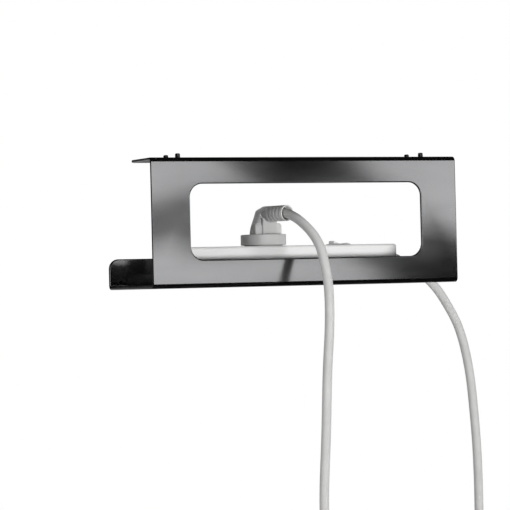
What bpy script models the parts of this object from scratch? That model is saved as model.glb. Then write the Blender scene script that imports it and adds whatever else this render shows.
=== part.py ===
"""Cable tray: a folded steel tray screwed under a table top, holding a socket strip, its supply cord
and the angled plug and cord of one appliance.

Metres, +Z up. The origin is the centre of the tray's top flange, on the face that meets the table.
+X runs along the tray, +Y points away from the window plate. Everything hangs below Z = 0 except the
ends of the four mounting screws.
"""

from math import cos, pi, radians, sin

import bmesh
import bpy
import numpy as np
from mathutils import Matrix, Vector
from mathutils.geometry import convex_hull_2d

MM = 0.001
GAP = 0.3 * MM

# Tray
TRAY_LENGTH = 300 * MM
TRAY_HEIGHT = 115 * MM
FLANGE_DEPTH = 50 * MM
FLOOR_DEPTH = 111 * MM
LIP_HEIGHT = 28 * MM
SHEET = 2.5 * MM
BEND_RADIUS = 4 * MM
LIP_CORNER = 9 * MM
FLANGE_CORNER = 5 * MM
WINDOW_LENGTH = 227 * MM
WINDOW_HEIGHT = 67 * MM
WINDOW_TOP = -23.5 * MM
WINDOW_CORNER = 12 * MM
PLATE_Y = -FLANGE_DEPTH / 2
FLOOR_END_Y = PLATE_Y + FLOOR_DEPTH

# Mounting screws, M5 x 8 with washers
SCREW_SPREAD = (240 * MM, 28 * MM)
SCREW_HOLE = 2.8 * MM
SCREW_SHANK = 2.45 * MM
SCREW_LENGTH = 8 * MM
SCREW_HEAD = 4.75 * MM
SCREW_HEAD_HEIGHT = 3 * MM
WASHER_RADIUS = 5.5 * MM
WASHER_THICKNESS = 1 * MM

# Socket strip
STRIP_LENGTH = 210 * MM
STRIP_DEPTH = 50 * MM
STRIP_Y = 33 * MM
STRIP_TOP = -78.5 * MM
STRIP_BOTTOM = -110.9 * MM
STRIP_SPLIT = -100 * MM
STRIP_WALL = 2 * MM
STRIP_CORNER = 3 * MM
STRIP_EDGE = 2.6 * MM
FOOT_RADIUS = 5 * MM
FOOT_THICKNESS = 1 * MM
BOSS_PLACE = (97 * MM, 17.5 * MM)
BOSS_RADIUS = 3.2 * MM
SHELL_SCREW_HEAD = 2.8 * MM
SHELL_SCREW_SHANK = 1.3 * MM

# Sockets
SOCKET_PITCH = 43.5 * MM
PLUGGED_X = -18.6 * MM
SOCKET_X = [PLUGGED_X + i * SOCKET_PITCH for i in (-1, 0, 1)]
SOCKET_TURN = radians(15)
WELL_RADIUS = 19.3 * MM
WELL_DEPTH = 11.1 * MM
INSERT_RADIUS = 20.2 * MM
INSERT_FLOOR = 2 * MM
PIN_SPREAD = 9.5 * MM
PIN_RADIUS = 2.4 * MM
PIN_LENGTH = 19 * MM
CLIP_REACH = 18.6 * MM
CLIP_SHEET = 0.8 * MM
CLIP_WIDTH = 4 * MM

# Contact rails
RAIL_TOP = -96 * MM
RAIL_BOTTOM = -103.5 * MM
RAIL_OFFSET = 8.5 * MM
RAIL_SHEET = 1 * MM
RAIL_ENDS = (-78 * MM, 66 * MM)
EARTH_RAIL_OFFSET = -13 * MM

# Rocker switch
SWITCH_X = 56.6 * MM
ROCKER_LENGTH = 15 * MM
ROCKER_WIDTH = 11 * MM
ROCKER_TILT = radians(8)
ROCKER_AXIS_Z = STRIP_TOP - 1.2 * MM
BEZEL_LENGTH = 18.6 * MM
BEZEL_WIDTH = 14.6 * MM
BEZEL_RISE = 1.2 * MM
SWITCH_DEPTH = 14 * MM

# Angled plug
NECK_ANGLE = SOCKET_TURN - pi / 2
NECK_LENGTH = 35.3 * MM
NECK_Z = -49.3 * MM
NECK_RADIUS = 7.2 * MM
FLANGE_BOTTOM = -77.4 * MM
FLANGE_TOP = -67.7 * MM
PLUG_FLANGE_RADIUS = 20.7 * MM
PLUG_NOSE_RADIUS = 17.4 * MM
PLUG_FACE = STRIP_TOP - WELL_DEPTH + GAP
RELIEF_START = 10 * MM

# Cords
CORD = 8.5 * MM
CORD_STEP = 1.2 * CORD
APPLIANCE_TURNS = (3, 2)
APPLIANCE_COIL_RADIUS = 40 * MM
SUPPLY_TURNS = (2, 1)
SUPPLY_COIL_RADIUS = 46 * MM
TIE_ANGLE = radians(110)
TIE_HALF_WIDTH = radians(10)
GLAND_START = 84 * MM
GLAND_END = 124 * MM
SUPPLY_Y = 42 * MM
SUPPLY_Z = -99.5 * MM

NECK = Vector((cos(NECK_ANGLE), sin(NECK_ANGLE), 0))

# Routes of the stretches that aren't coiled, in millimetres.
APPLIANCE_ROUTE = [
    (-11.3, 5.7, -49.3), (-9.5, -1.1, -50.1), (-8.1, -6.6, -51.6), (-6.2, -13.8, -54.6),
    (-4.2, -24, -60), (-3, -34, -65.8),
    (-2.5, -42.5, -71.4), (-2.4, -50, -77.4), (-2.5, -56.5, -84), (-2.8, -61, -90.8), (-3.2, -66.6, -101),
    (-3.8, -71.8, -113.4), (-5, -76, -129), (-6.2, -78, -146), (-7.7, -79, -163.4), (-9.2, -79, -181),
    (-10.8, -78, -215.8), (-12.3, -77, -253.3), (-14, -76, -285.6), (-14.6, -75.4, -312), (-13.6, -75, -328),
    (-9.4, -75, -345), (-1.6, -75, -362),
]
SUPPLY_ROUTE = [
    (118, 42, -99.5), (125, 42, -99.5), (134, 43, -100.8), (142, 45, -102.9), (150.6, 47.4, -107.1),
    (159.3, 49.2, -113.7), (167, 50.1, -121.4), (174.8, 51, -131.5), (181.2, 51.6, -141.3), (186.8, 52, -151),
    (194, 52.1, -170.2), (198.3, 51.8, -189.4), (200.9, 51, -208.5), (202.2, 50, -227.5),
    (203.2, 48.9, -248.4),
    (203.8, 47.8, -268.3), (204, 46.6, -303.3), (203.8, 46.4, -331.7), (203.8, 47.8, -348),
    (203.8, 52.4, -366),
    (203.8, 57.2, -377.5),
]
APPLIANCE_COIL = Vector((-16, -62.25, -414)) * MM
SUPPLY_COIL = Vector((195.3, 46, -436)) * MM
TAIL_START = 30 * MM
TAIL_END = 64 * MM


# Scene, materials and basic shapes


def clear_scene():
    for obj in list(bpy.data.objects):
        bpy.data.objects.remove(obj)


def make_material(name, color, roughness, metallic=0.0):
    material = bpy.data.materials.new(name)
    material.use_nodes = True
    shader = material.node_tree.nodes["Principled BSDF"]
    shader.inputs["Base Color"].default_value = (*color, 1)
    shader.inputs["Roughness"].default_value = roughness
    shader.inputs["Metallic"].default_value = metallic
    return material


def make_empty(name, place):
    empty = bpy.data.objects.new(name, None)
    empty.location = place
    bpy.context.scene.collection.objects.link(empty)
    bpy.context.view_layer.update()
    return empty


def add_object(name, data, material, parent=None):
    obj = bpy.data.objects.new(name, data)
    bpy.context.scene.collection.objects.link(obj)
    if material:
        data.materials.append(material)
    if parent:
        obj.parent = parent
        obj.matrix_parent_inverse = parent.matrix_world.inverted()
    return obj


def finish_mesh(name, bm, material, parent=None, place=None):
    """The mesh as an object, welded, facing out and shaded smooth where it is round."""
    bmesh.ops.remove_doubles(bm, verts=bm.verts, dist=1e-6)
    if place:
        bmesh.ops.transform(bm, matrix=place, verts=bm.verts)
    bmesh.ops.recalc_face_normals(bm, faces=bm.faces)
    mesh = bpy.data.meshes.new(name)
    bm.to_mesh(mesh)
    bm.free()
    mesh.shade_smooth()
    mesh.set_sharp_from_angle(angle=radians(35))
    return add_object(name, mesh, material, parent)


def cut(obj, bm, name, operation="DIFFERENCE"):
    """Cuts the mesh away from obj, or joins it on with operation UNION, and keeps it as a hidden helper."""
    cutter = finish_mesh(name, bm, None)
    cutter.hide_render = True
    cutter.display_type = "WIRE"
    modifier = obj.modifiers.new(name, "BOOLEAN")
    modifier.operation = operation
    modifier.object = cutter
    modifier.solver = "EXACT"


def add_prism(bm, outline, direction):
    """Extrudes the closed outline, a list of points in space, along the direction."""
    face = bm.faces.new([bm.verts.new(point) for point in outline])
    extruded = bmesh.ops.extrude_face_region(bm, geom=[face])["geom"]
    moved = [item for item in extruded if isinstance(item, bmesh.types.BMVert)]
    bmesh.ops.translate(bm, verts=moved, vec=direction)


def add_box(bm, low, high):
    corners = [(low[0], low[1]), (high[0], low[1]), (high[0], high[1]), (low[0], high[1])]
    outline = [(x, y, low[2]) for x, y in corners]
    add_prism(bm, outline, (0, 0, high[2] - low[2]))


def add_cylinder(bm, start, end, radius, segments=16, end_radius=None):
    start = Vector(start)
    end = Vector(end)
    turn = (end - start).to_track_quat("Z", "Y").to_matrix().to_4x4()
    far_radius = radius if end_radius is None else end_radius
    bmesh.ops.create_cone(
        bm, cap_ends=True, segments=segments, radius1=radius, radius2=far_radius, depth=(end - start).length,
        matrix=Matrix.Translation((start + end) / 2) @ turn,
    )


def add_turned(bm, profile, segments, matrix=Matrix.Identity(4)):
    """Turns the closed profile, a list of (radius, height), once round Z."""
    ring = [bm.verts.new(matrix @ Vector((radius, 0, height))) for radius, height in profile]
    edges = [bm.edges.new((a, b)) for a, b in zip(ring, ring[1:] + ring[:1]) if (a.co - b.co).length > 1e-7]
    axis = (matrix.to_3x3() @ Vector((0, 0, 1))).normalized()
    bmesh.ops.spin(
        bm, geom=ring + edges, cent=matrix.translation, axis=axis, angle=2 * pi, steps=segments,
        use_merge=True,
    )


def turned(name, profile, material, parent=None, segments=16, place=Matrix.Identity(4)):
    bm = bmesh.new()
    add_turned(bm, profile, segments)
    bmesh.ops.remove_doubles(bm, verts=bm.verts, dist=1e-6)
    bmesh.ops.dissolve_degenerate(bm, dist=1e-7, edges=bm.edges)
    return finish_mesh(name, bm, material, parent, place)


def arc(center, radius, start, end, steps):
    """Points (a, b) along an arc, angles in degrees."""
    angles = [radians(start + (end - start) * i / steps) for i in range(steps + 1)]
    return [(center[0] + radius * cos(angle), center[1] + radius * sin(angle)) for angle in angles]


def rounded_rectangle(half_a, half_b, radius, steps=4, center=(0, 0)):
    corners = ((1, 1, 0), (-1, 1, 90), (-1, -1, 180), (1, -1, 270))
    points = []
    for side_a, side_b, start in corners:
        middle = (center[0] + side_a * (half_a - radius), center[1] + side_b * (half_b - radius))
        points += arc(middle, radius, start, start + 90, steps)
    return points


def add_rounded_block(bm, half, radius, edge, low, high, center, steps=4):
    """A block with round corners seen from above, and its top edge rounded over."""
    levels = [(0, low)] + [(edge * (1 - cos(turn)), high - edge * (1 - sin(turn))) for turn in
                           (pi / 2 * i / 3 for i in range(4))] if edge else [(0, low), (0, high)]
    rings = []
    for inset, height in levels:
        corner = max(radius - inset, 0.5 * MM)
        outline = rounded_rectangle(half[0] - inset, half[1] - inset, corner, steps, center)
        rings.append([bm.verts.new((x, y, height)) for x, y in outline])
    bridge(bm, rings)


def bridge(bm, rings):
    """Joins rings of equal length in order and closes both ends."""
    for lower, upper in zip(rings, rings[1:]):
        for i in range(len(lower)):
            j = (i + 1) % len(lower)
            bm.faces.new((lower[i], lower[j], upper[j], upper[i]))
    bm.faces.new(rings[0][::-1])
    bm.faces.new(rings[-1])


def aimed(place, direction):
    """A matrix that puts Z along the direction at the place."""
    return Matrix.Translation(place) @ Vector(direction).to_track_quat("Z", "Y").to_matrix().to_4x4()


# Tray


def sheet_outline(steps=6):
    """Outline (y, z) of the folded sheet: flange, plate, floor and lip."""
    inner = BEND_RADIUS - SHEET
    bends = (
        ((PLATE_Y + BEND_RADIUS, -BEND_RADIUS), 90),
        ((PLATE_Y + BEND_RADIUS, -TRAY_HEIGHT + BEND_RADIUS), 180),
        ((FLOOR_END_Y - BEND_RADIUS, -TRAY_HEIGHT + BEND_RADIUS), 270),
    )
    lip_top = -TRAY_HEIGHT + LIP_HEIGHT
    outer_side = [(-PLATE_Y, 0)]
    inner_side = [(-PLATE_Y, -SHEET)]
    for center, start in bends:
        outer_side += arc(center, BEND_RADIUS, start, start + 90, steps)
        inner_side += arc(center, inner, start, start + 90, steps)
    outer_side.append((FLOOR_END_Y, lip_top))
    inner_side.append((FLOOR_END_Y - SHEET, lip_top))
    return outer_side + inner_side[::-1]


def corner_waste(corner, side_x, side_b, radius, place):
    """What a rounded corner takes off: the square corner less its arc. place turns (x, b) into a point."""
    center = (corner[0] - side_x * radius, corner[1] - side_b * radius)
    bow = arc(center, radius, 0, 90, 6)
    bow = [(center[0] + side_x * (x - center[0]), center[1] + side_b * (b - center[1])) for x, b in bow]
    over = 1 * MM
    square = [
        (corner[0] - side_x * radius, corner[1] + side_b * over),
        (corner[0] + side_x * over, corner[1] + side_b * over),
        (corner[0] + side_x * over, corner[1] - side_b * radius),
    ]
    return [place(x, b) for x, b in bow + square]


def screw_places():
    return [(x * SCREW_SPREAD[0] / 2, y * SCREW_SPREAD[1] / 2) for x in (-1, 1) for y in (-1, 1)]


def make_tray(material, parent):
    bm = bmesh.new()
    add_prism(bm, [(-TRAY_LENGTH / 2, y, z) for y, z in sheet_outline()], (TRAY_LENGTH, 0, 0))
    tray = finish_mesh("tray_body", bm, material, parent)
    bm = bmesh.new()
    middle = (0, WINDOW_TOP - WINDOW_HEIGHT / 2)
    window = rounded_rectangle(WINDOW_LENGTH / 2, WINDOW_HEIGHT / 2, WINDOW_CORNER, 6, middle)
    add_prism(bm, [(x, PLATE_Y - SHEET, z) for x, z in window], (0, 3 * SHEET, 0))
    for x, y in screw_places():
        add_cylinder(bm, (x, y, -2 * SHEET), (x, y, SHEET), SCREW_HOLE, 16)
    for side in (-1, 1):
        lip = (side * TRAY_LENGTH / 2, -TRAY_HEIGHT + LIP_HEIGHT)
        waste = corner_waste(lip, side, 1, LIP_CORNER, lambda x, b: (x, FLOOR_END_Y + SHEET, b))
        add_prism(bm, waste, (0, -3 * SHEET, 0))
        flange = (side * TRAY_LENGTH / 2, -PLATE_Y)
        waste = corner_waste(flange, side, 1, FLANGE_CORNER, lambda x, b: (x, b, SHEET))
        add_prism(bm, waste, (0, 0, -3 * SHEET))
    cut(tray, bm, "tray_openings")


def make_mounting_screws(steel, parent):
    """Pan-head screws pushed up through washers and the flange. Each is turned with its head down."""
    washer_top = -SHEET - GAP
    head_top = washer_top - WASHER_THICKNESS - GAP
    head_low = head_top - SCREW_HEAD_HEIGHT
    tip = head_top + SCREW_LENGTH
    socket = 1.6 * MM
    for number, (x, y) in enumerate(screw_places(), 1):
        place = Matrix.Translation((x, y, 0))
        profile = [
            (0, head_low + socket), (socket, head_low + socket), (socket, head_low),
            (SCREW_HEAD * 0.72, head_low), (SCREW_HEAD * 0.93, head_low + 0.9 * MM),
            (SCREW_HEAD, head_top), (SCREW_SHANK, head_top),
            (SCREW_SHANK, tip - 0.8 * MM), (SCREW_SHANK - 0.8 * MM, tip), (0, tip),
        ]
        turned(f"mounting_screw_{number}", profile, steel, parent, 12, place)
        washer = [(SCREW_HOLE, washer_top), (SCREW_HOLE, washer_top - WASHER_THICKNESS),
                  (WASHER_RADIUS, washer_top - WASHER_THICKNESS), (WASHER_RADIUS, washer_top)]
        turned(f"mounting_washer_{number}", washer, steel, parent, 16, place)


# Socket strip


def boss_places():
    return [(x * BOSS_PLACE[0], STRIP_Y + y * BOSS_PLACE[1]) for x in (-1, 1) for y in (-1, 1)]


def turned_points(x, points):
    """Points given along a socket's pin line and across it, as places on the strip."""
    turn = Matrix.Rotation(SOCKET_TURN, 2)
    return [(x + (turn @ Vector(p)).x, STRIP_Y + (turn @ Vector(p)).y) for p in points]


def make_upper_shell(material, parent):
    half = (STRIP_LENGTH / 2, STRIP_DEPTH / 2)
    inner = (half[0] - STRIP_WALL, half[1] - STRIP_WALL)
    center = (0, STRIP_Y)
    bm = bmesh.new()
    add_rounded_block(bm, half, STRIP_CORNER, STRIP_EDGE, STRIP_SPLIT, STRIP_TOP, center)
    shell = finish_mesh("strip_upper_shell", bm, material, parent)
    bm = bmesh.new()
    ceiling = STRIP_TOP - STRIP_WALL
    add_rounded_block(bm, inner, STRIP_CORNER - STRIP_WALL, 0, STRIP_SPLIT - 1 * MM, ceiling, center, 3)
    cut(shell, bm, "upper_shell_hollow")
    bm = bmesh.new()
    for x, y in boss_places():
        add_cylinder(bm, (x, y, STRIP_SPLIT), (x, y, ceiling + 0.5 * MM), BOSS_RADIUS, 12)
    cut(shell, bm, "upper_shell_bosses", "UNION")
    bm = bmesh.new()
    for x in SOCKET_X:
        low = (x, STRIP_Y, ceiling - 1 * MM)
        add_cylinder(bm, low, (x, STRIP_Y, STRIP_TOP + 1 * MM), INSERT_RADIUS + GAP, 32)
    add_box(
        bm, (SWITCH_X - BEZEL_LENGTH / 2 + 1 * MM, STRIP_Y - BEZEL_WIDTH / 2 + 1 * MM, ceiling - 1 * MM),
        (SWITCH_X + BEZEL_LENGTH / 2 - 1 * MM, STRIP_Y + BEZEL_WIDTH / 2 - 1 * MM, STRIP_TOP + 1 * MM),
    )
    for x, y in boss_places():
        low = (x, y, STRIP_SPLIT - 1 * MM)
        add_cylinder(bm, low, (x, y, ceiling - 6 * MM), SHELL_SCREW_SHANK + GAP, 10)
    add_gland_hole(bm)
    cut(shell, bm, "upper_shell_openings")


def add_gland_hole(bm):
    wall = STRIP_LENGTH / 2
    start = (wall - 4 * MM, SUPPLY_Y, SUPPLY_Z)
    add_cylinder(bm, start, (wall + 2 * MM, SUPPLY_Y, SUPPLY_Z), 5.6 * MM, 16)


def make_lower_shell(material, parent):
    half = (STRIP_LENGTH / 2, STRIP_DEPTH / 2)
    inner = (half[0] - STRIP_WALL, half[1] - STRIP_WALL)
    center = (0, STRIP_Y)
    top = STRIP_SPLIT - GAP
    floor = STRIP_BOTTOM + STRIP_WALL
    bm = bmesh.new()
    add_rounded_block(bm, half, STRIP_CORNER, 0, STRIP_BOTTOM, top, center)
    shell = finish_mesh("strip_lower_shell", bm, material, parent)
    bm = bmesh.new()
    add_rounded_block(bm, inner, STRIP_CORNER - STRIP_WALL, 0, floor, top + 1 * MM, center, 3)
    cut(shell, bm, "lower_shell_hollow")
    bm = bmesh.new()
    for x, y in boss_places():
        low = (x, y, STRIP_BOTTOM + 0.5 * MM)
        add_cylinder(bm, low, (x, y, floor + 4 * MM), SHELL_SCREW_HEAD + 1.6 * MM, 12)
    cut(shell, bm, "lower_shell_bosses", "UNION")
    bm = bmesh.new()
    for x, y in boss_places():
        low = STRIP_BOTTOM - 1 * MM
        step = STRIP_BOTTOM + 3 * MM
        wide = SHELL_SCREW_HEAD + GAP
        narrow = SHELL_SCREW_SHANK + GAP
        high = floor + 5 * MM
        profile = [(0, low), (wide, low), (wide, step), (narrow, step), (narrow, high), (0, high)]
        add_turned(bm, profile, 12, Matrix.Translation((x, y, 0)))
    add_gland_hole(bm)
    cut(shell, bm, "lower_shell_openings")


def make_shell_screws_and_feet(steel, rubber, parent):
    head_top = STRIP_BOTTOM + 3 * MM - GAP
    head_low = head_top - 1.8 * MM
    tip = STRIP_SPLIT + 8 * MM
    for number, (x, y) in enumerate(boss_places(), 1):
        place = Matrix.Translation((x, y, 0))
        profile = [
            (0, head_low + 0.8 * MM), (0.9 * MM, head_low + 0.8 * MM), (0.9 * MM, head_low),
            (SHELL_SCREW_HEAD, head_low + 0.4 * MM), (SHELL_SCREW_HEAD, head_top),
            (SHELL_SCREW_SHANK, head_top), (SHELL_SCREW_SHANK, tip - 1 * MM), (0, tip),
        ]
        turned(f"shell_screw_{number}", profile, steel, parent, 10, place)
        foot_x = x - 11 * MM * (1 if x > 0 else -1)
        foot_top = STRIP_BOTTOM - GAP
        foot_low = foot_top - FOOT_THICKNESS
        foot = [(0, foot_top), (FOOT_RADIUS, foot_top), (FOOT_RADIUS - 0.4 * MM, foot_low), (0, foot_low)]
        turned(f"strip_foot_{number}", foot, rubber, parent, 16, Matrix.Translation((foot_x, y, 0)))


def make_sockets(plastic, brass, parent):
    """Each socket is a round well with two pin holes, and a spring clip whose arms stand in the well."""
    floor = STRIP_TOP - WELL_DEPTH
    low = floor - INSERT_FLOOR
    clip_low = low - GAP - CLIP_SHEET
    for number, x in enumerate(SOCKET_X, 1):
        place = Matrix.Translation((x, STRIP_Y, 0))
        profile = [
            (0, low), (INSERT_RADIUS, low), (INSERT_RADIUS, STRIP_TOP - 0.3 * MM),
            (INSERT_RADIUS - 0.3 * MM, STRIP_TOP), (WELL_RADIUS, STRIP_TOP), (WELL_RADIUS, floor), (0, floor),
        ]
        insert = turned(f"socket_insert_{number}", profile, plastic, parent, 32, place)
        bm = bmesh.new()
        for px, py in turned_points(x, [(-PIN_SPREAD, 0), (PIN_SPREAD, 0)]):
            add_cylinder(bm, (px, py, low - 1 * MM), (px, py, floor + 1 * MM), PIN_RADIUS + GAP, 12)
        for side in (-1, 1):
            near = side * (CLIP_REACH - CLIP_SHEET - GAP)
            far = side * (CLIP_REACH + GAP)
            wide = CLIP_WIDTH / 2 + GAP
            slot = turned_points(x, [(-wide, near), (wide, near), (wide, far), (-wide, far)])
            add_prism(bm, [(px, py, low - 1 * MM) for px, py in slot], (0, 0, INSERT_FLOOR + 2 * MM))
        cut(insert, bm, f"socket_openings_{number}")
        make_earth_clip(number, x, clip_low, STRIP_TOP - 2.5 * MM, brass, parent)


def make_earth_clip(number, x, low, high, brass, parent):
    """A strap under the well with an arm up each side, its tips bent in a little."""
    inside = CLIP_REACH - CLIP_SHEET
    outline = [
        (-CLIP_REACH, low), (CLIP_REACH, low), (CLIP_REACH, high), (inside, high),
        (inside, low + CLIP_SHEET), (-inside, low + CLIP_SHEET), (-inside, high), (-CLIP_REACH, high),
    ]
    turn = Matrix.Translation((x, STRIP_Y, 0)) @ Matrix.Rotation(SOCKET_TURN, 4, "Z")
    bm = bmesh.new()
    add_prism(bm, [(-CLIP_WIDTH / 2, y, z) for y, z in outline], (CLIP_WIDTH, 0, 0))
    finish_mesh(f"earth_clip_{number}", bm, brass, parent, turn)


def make_rails(brass, parent):
    """Live and neutral rails are combs, with a block round one pin of each socket. The earth rail is flat."""
    block = 3.6 * MM
    for name, side in (("live_rail", 1), ("neutral_rail", -1)):
        back = STRIP_Y + side * (RAIL_OFFSET + RAIL_SHEET)
        front = STRIP_Y + side * RAIL_OFFSET
        pins = [turned_points(x, [(side * PIN_SPREAD, 0)])[0] for x in SOCKET_X]
        outline = [(RAIL_ENDS[1], back), (RAIL_ENDS[0], back), (RAIL_ENDS[0], front)]
        for px, py in pins:
            reach = py - side * block
            outline += [(px - block, front), (px - block, reach), (px + block, reach), (px + block, front)]
        outline.append((RAIL_ENDS[1], front))
        bm = bmesh.new()
        add_prism(bm, [(px, py, RAIL_BOTTOM) for px, py in outline], (0, 0, RAIL_TOP - RAIL_BOTTOM))
        rail = finish_mesh(name, bm, brass, parent)
        bm = bmesh.new()
        for px, py in pins:
            low = (px, py, RAIL_BOTTOM - 1 * MM)
            add_cylinder(bm, low, (px, py, RAIL_TOP + 1 * MM), PIN_RADIUS + GAP, 12)
        cut(rail, bm, f"{name}_bores")
    top = STRIP_TOP - WELL_DEPTH - INSERT_FLOOR - CLIP_SHEET - 2 * GAP
    middle = STRIP_Y + EARTH_RAIL_OFFSET
    bm = bmesh.new()
    add_box(bm, (RAIL_ENDS[0], middle - 1.5 * MM, top - RAIL_SHEET), (RAIL_ENDS[1], middle + 1.5 * MM, top))
    finish_mesh("earth_rail", bm, brass, parent)


def make_switch(plastic, rocker_plastic, parent, rocker_parent):
    """A housing with a raised bezel, and a rocker on two trunnions along Y."""
    low = STRIP_TOP - SWITCH_DEPTH
    bezel = (BEZEL_LENGTH / 2, BEZEL_WIDTH / 2)
    body = (bezel[0] - 1 * MM - GAP, bezel[1] - 1 * MM - GAP)
    center = (SWITCH_X, STRIP_Y)
    levels = [(body, low), (body, STRIP_TOP + GAP), (bezel, STRIP_TOP + GAP), (bezel, STRIP_TOP + BEZEL_RISE)]
    bm = bmesh.new()
    rings = []
    for half, z in levels:
        outline = rounded_rectangle(half[0], half[1], 1 * MM, 2, center)
        rings.append([bm.verts.new((x, y, z)) for x, y in outline])
    bridge(bm, rings)
    housing = finish_mesh("switch_housing", bm, plastic, parent)
    room = (ROCKER_LENGTH / 2 + 0.5 * MM, ROCKER_WIDTH / 2 + GAP)
    bm = bmesh.new()
    add_box(
        bm, (SWITCH_X - room[0], STRIP_Y - room[1], low + 2 * MM),
        (SWITCH_X + room[0], STRIP_Y + room[1], STRIP_TOP + 4 * MM),
    )
    cut(housing, bm, "switch_hollow")
    bm = bmesh.new()
    reach = body[1] - 0.3 * MM
    axis = Vector((SWITCH_X, STRIP_Y, ROCKER_AXIS_Z))
    add_cylinder(bm, axis - Vector((0, reach, 0)), axis + Vector((0, reach, 0)), 0.9 * MM, 12)
    cut(housing, bm, "switch_bearings")
    crest = 4.3 * MM
    dip = 2.4 * MM
    end = ROCKER_LENGTH / 2
    outline = [
        (-end, crest), (-end * 0.55, 3.3 * MM), (0, dip), (end * 0.55, 3.3 * MM), (end, crest),
        (end - 0.3 * MM, -0.6 * MM), (3 * MM, -5 * MM), (-3 * MM, -5 * MM), (-end + 0.3 * MM, -0.6 * MM),
    ]
    place = Matrix.Translation(axis) @ Matrix.Rotation(ROCKER_TILT, 4, "Y")
    bm = bmesh.new()
    add_prism(bm, [(x, -ROCKER_WIDTH / 2, z) for x, z in outline], (0, ROCKER_WIDTH, 0))
    rocker = finish_mesh("switch_rocker", bm, rocker_plastic, rocker_parent, place)
    bm = bmesh.new()
    pin = Vector((0, reach - GAP, 0))
    add_cylinder(bm, axis - pin, axis + pin, 0.6 * MM, 10)
    cut(rocker, bm, "rocker_trunnions", "UNION")


def make_wiring(materials, parent):
    """The cores inside the strip, from the cord's end to the rails and through the switch."""
    routes = {
        "core_neutral": [
            (82.5, 39.5, -100.5), (76, 32, -101), (71, 23.4, -101), (66, 21.8, -100.5), (60, 21.8, -100.5),
        ],
        "core_earth": [(82.5, 41.5, -97), (76, 32, -95), (71, 24, -92), (64, 20, -91.2), (56, 20, -91.2)],
        "core_live": [
            (82.5, 44.5, -100.5), (76, 45.5, -100), (69, 41, -97), (64, 36, -94.8), (62, 33, -94.5),
        ],
        "switch_link": [
            (52, 33, -94.5), (50, 35.5, -94.3), (46, 42, -93.9), (42, 44.2, -95.5), (36, 44.2, -98.5),
        ],
    }
    for name, route in routes.items():
        add_tube(name, [Vector(p) * MM for p in route], 2.4 * MM, 5 * MM, materials[name], parent)


def make_gland(rubber, parent):
    """The supply cord's gland: a collar each side of the wall, a sleeve outside and a stub for the clamp."""
    wall_out = STRIP_LENGTH / 2
    wall_in = wall_out - STRIP_WALL
    bore = CORD / 2 + 0.7 * MM
    ribs = []
    for i in range(4):
        start = wall_out + (4 + 3.6 * i) * MM
        radius = (6.6 - 0.35 * i) * MM
        groove = radius - 0.8 * MM
        ribs += [(radius, start), (radius, start + 2.2 * MM)]
        ribs += [(groove, start + 2.4 * MM), (groove, start + 3.4 * MM)]
    profile = [
        (0, GLAND_START), (4.2 * MM, GLAND_START), (4.2 * MM, wall_in - 3 * MM), (7 * MM, wall_in - 3 * MM),
        (7 * MM, wall_in - GAP), (5.2 * MM, wall_in - GAP), (5.2 * MM, wall_out + GAP),
        (7.2 * MM, wall_out + GAP), (7.2 * MM, wall_out + 2.5 * MM), (6.2 * MM, wall_out + 3.2 * MM),
        *ribs, (5.1 * MM, GLAND_END), (bore, GLAND_END), (bore, 117.5 * MM), (0, 117.5 * MM),
    ]
    turned("strip_cord_gland", profile, rubber, parent, 16, aimed((0, SUPPLY_Y, SUPPLY_Z), (1, 0, 0)))


def make_cord_clamp(plastic, steel, parent):
    middle = GLAND_START + 3.5 * MM
    low = SUPPLY_Z + 4.2 * MM + GAP
    floor = STRIP_BOTTOM + STRIP_WALL + GAP
    half = 9 * MM
    bm = bmesh.new()
    outline = [
        (-half, floor), (-4.6 * MM, floor), (-4.6 * MM, low), (4.6 * MM, low), (4.6 * MM, floor),
        (half, floor), (half, low + 3 * MM), (-half, low + 3 * MM),
    ]
    add_prism(bm, [(middle - 2.5 * MM, SUPPLY_Y + y, z) for y, z in outline], (5 * MM, 0, 0))
    clamp = finish_mesh("cord_clamp", bm, plastic, parent)
    bm = bmesh.new()
    for side in (-1, 1):
        y = SUPPLY_Y + side * 6.9 * MM
        add_cylinder(bm, (middle, y, floor + 1.5 * MM), (middle, y, low + 4 * MM), 1.5 * MM, 10)
    cut(clamp, bm, "clamp_bores")
    top = low + 3 * MM + GAP
    for number, side in enumerate((-1, 1), 1):
        profile = [
            (0, floor + 2.4 * MM), (1.2 * MM, floor + 3 * MM), (1.2 * MM, top), (2 * MM, top),
            (2 * MM, top + 1.3 * MM), (0.7 * MM, top + 1.3 * MM), (0.7 * MM, top + 0.6 * MM),
            (0, top + 0.6 * MM),
        ]
        place = Matrix.Translation((middle, SUPPLY_Y + side * 6.9 * MM, 0))
        turned(f"clamp_screw_{number}", profile, steel, parent, 10, place)


# Cords


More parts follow.
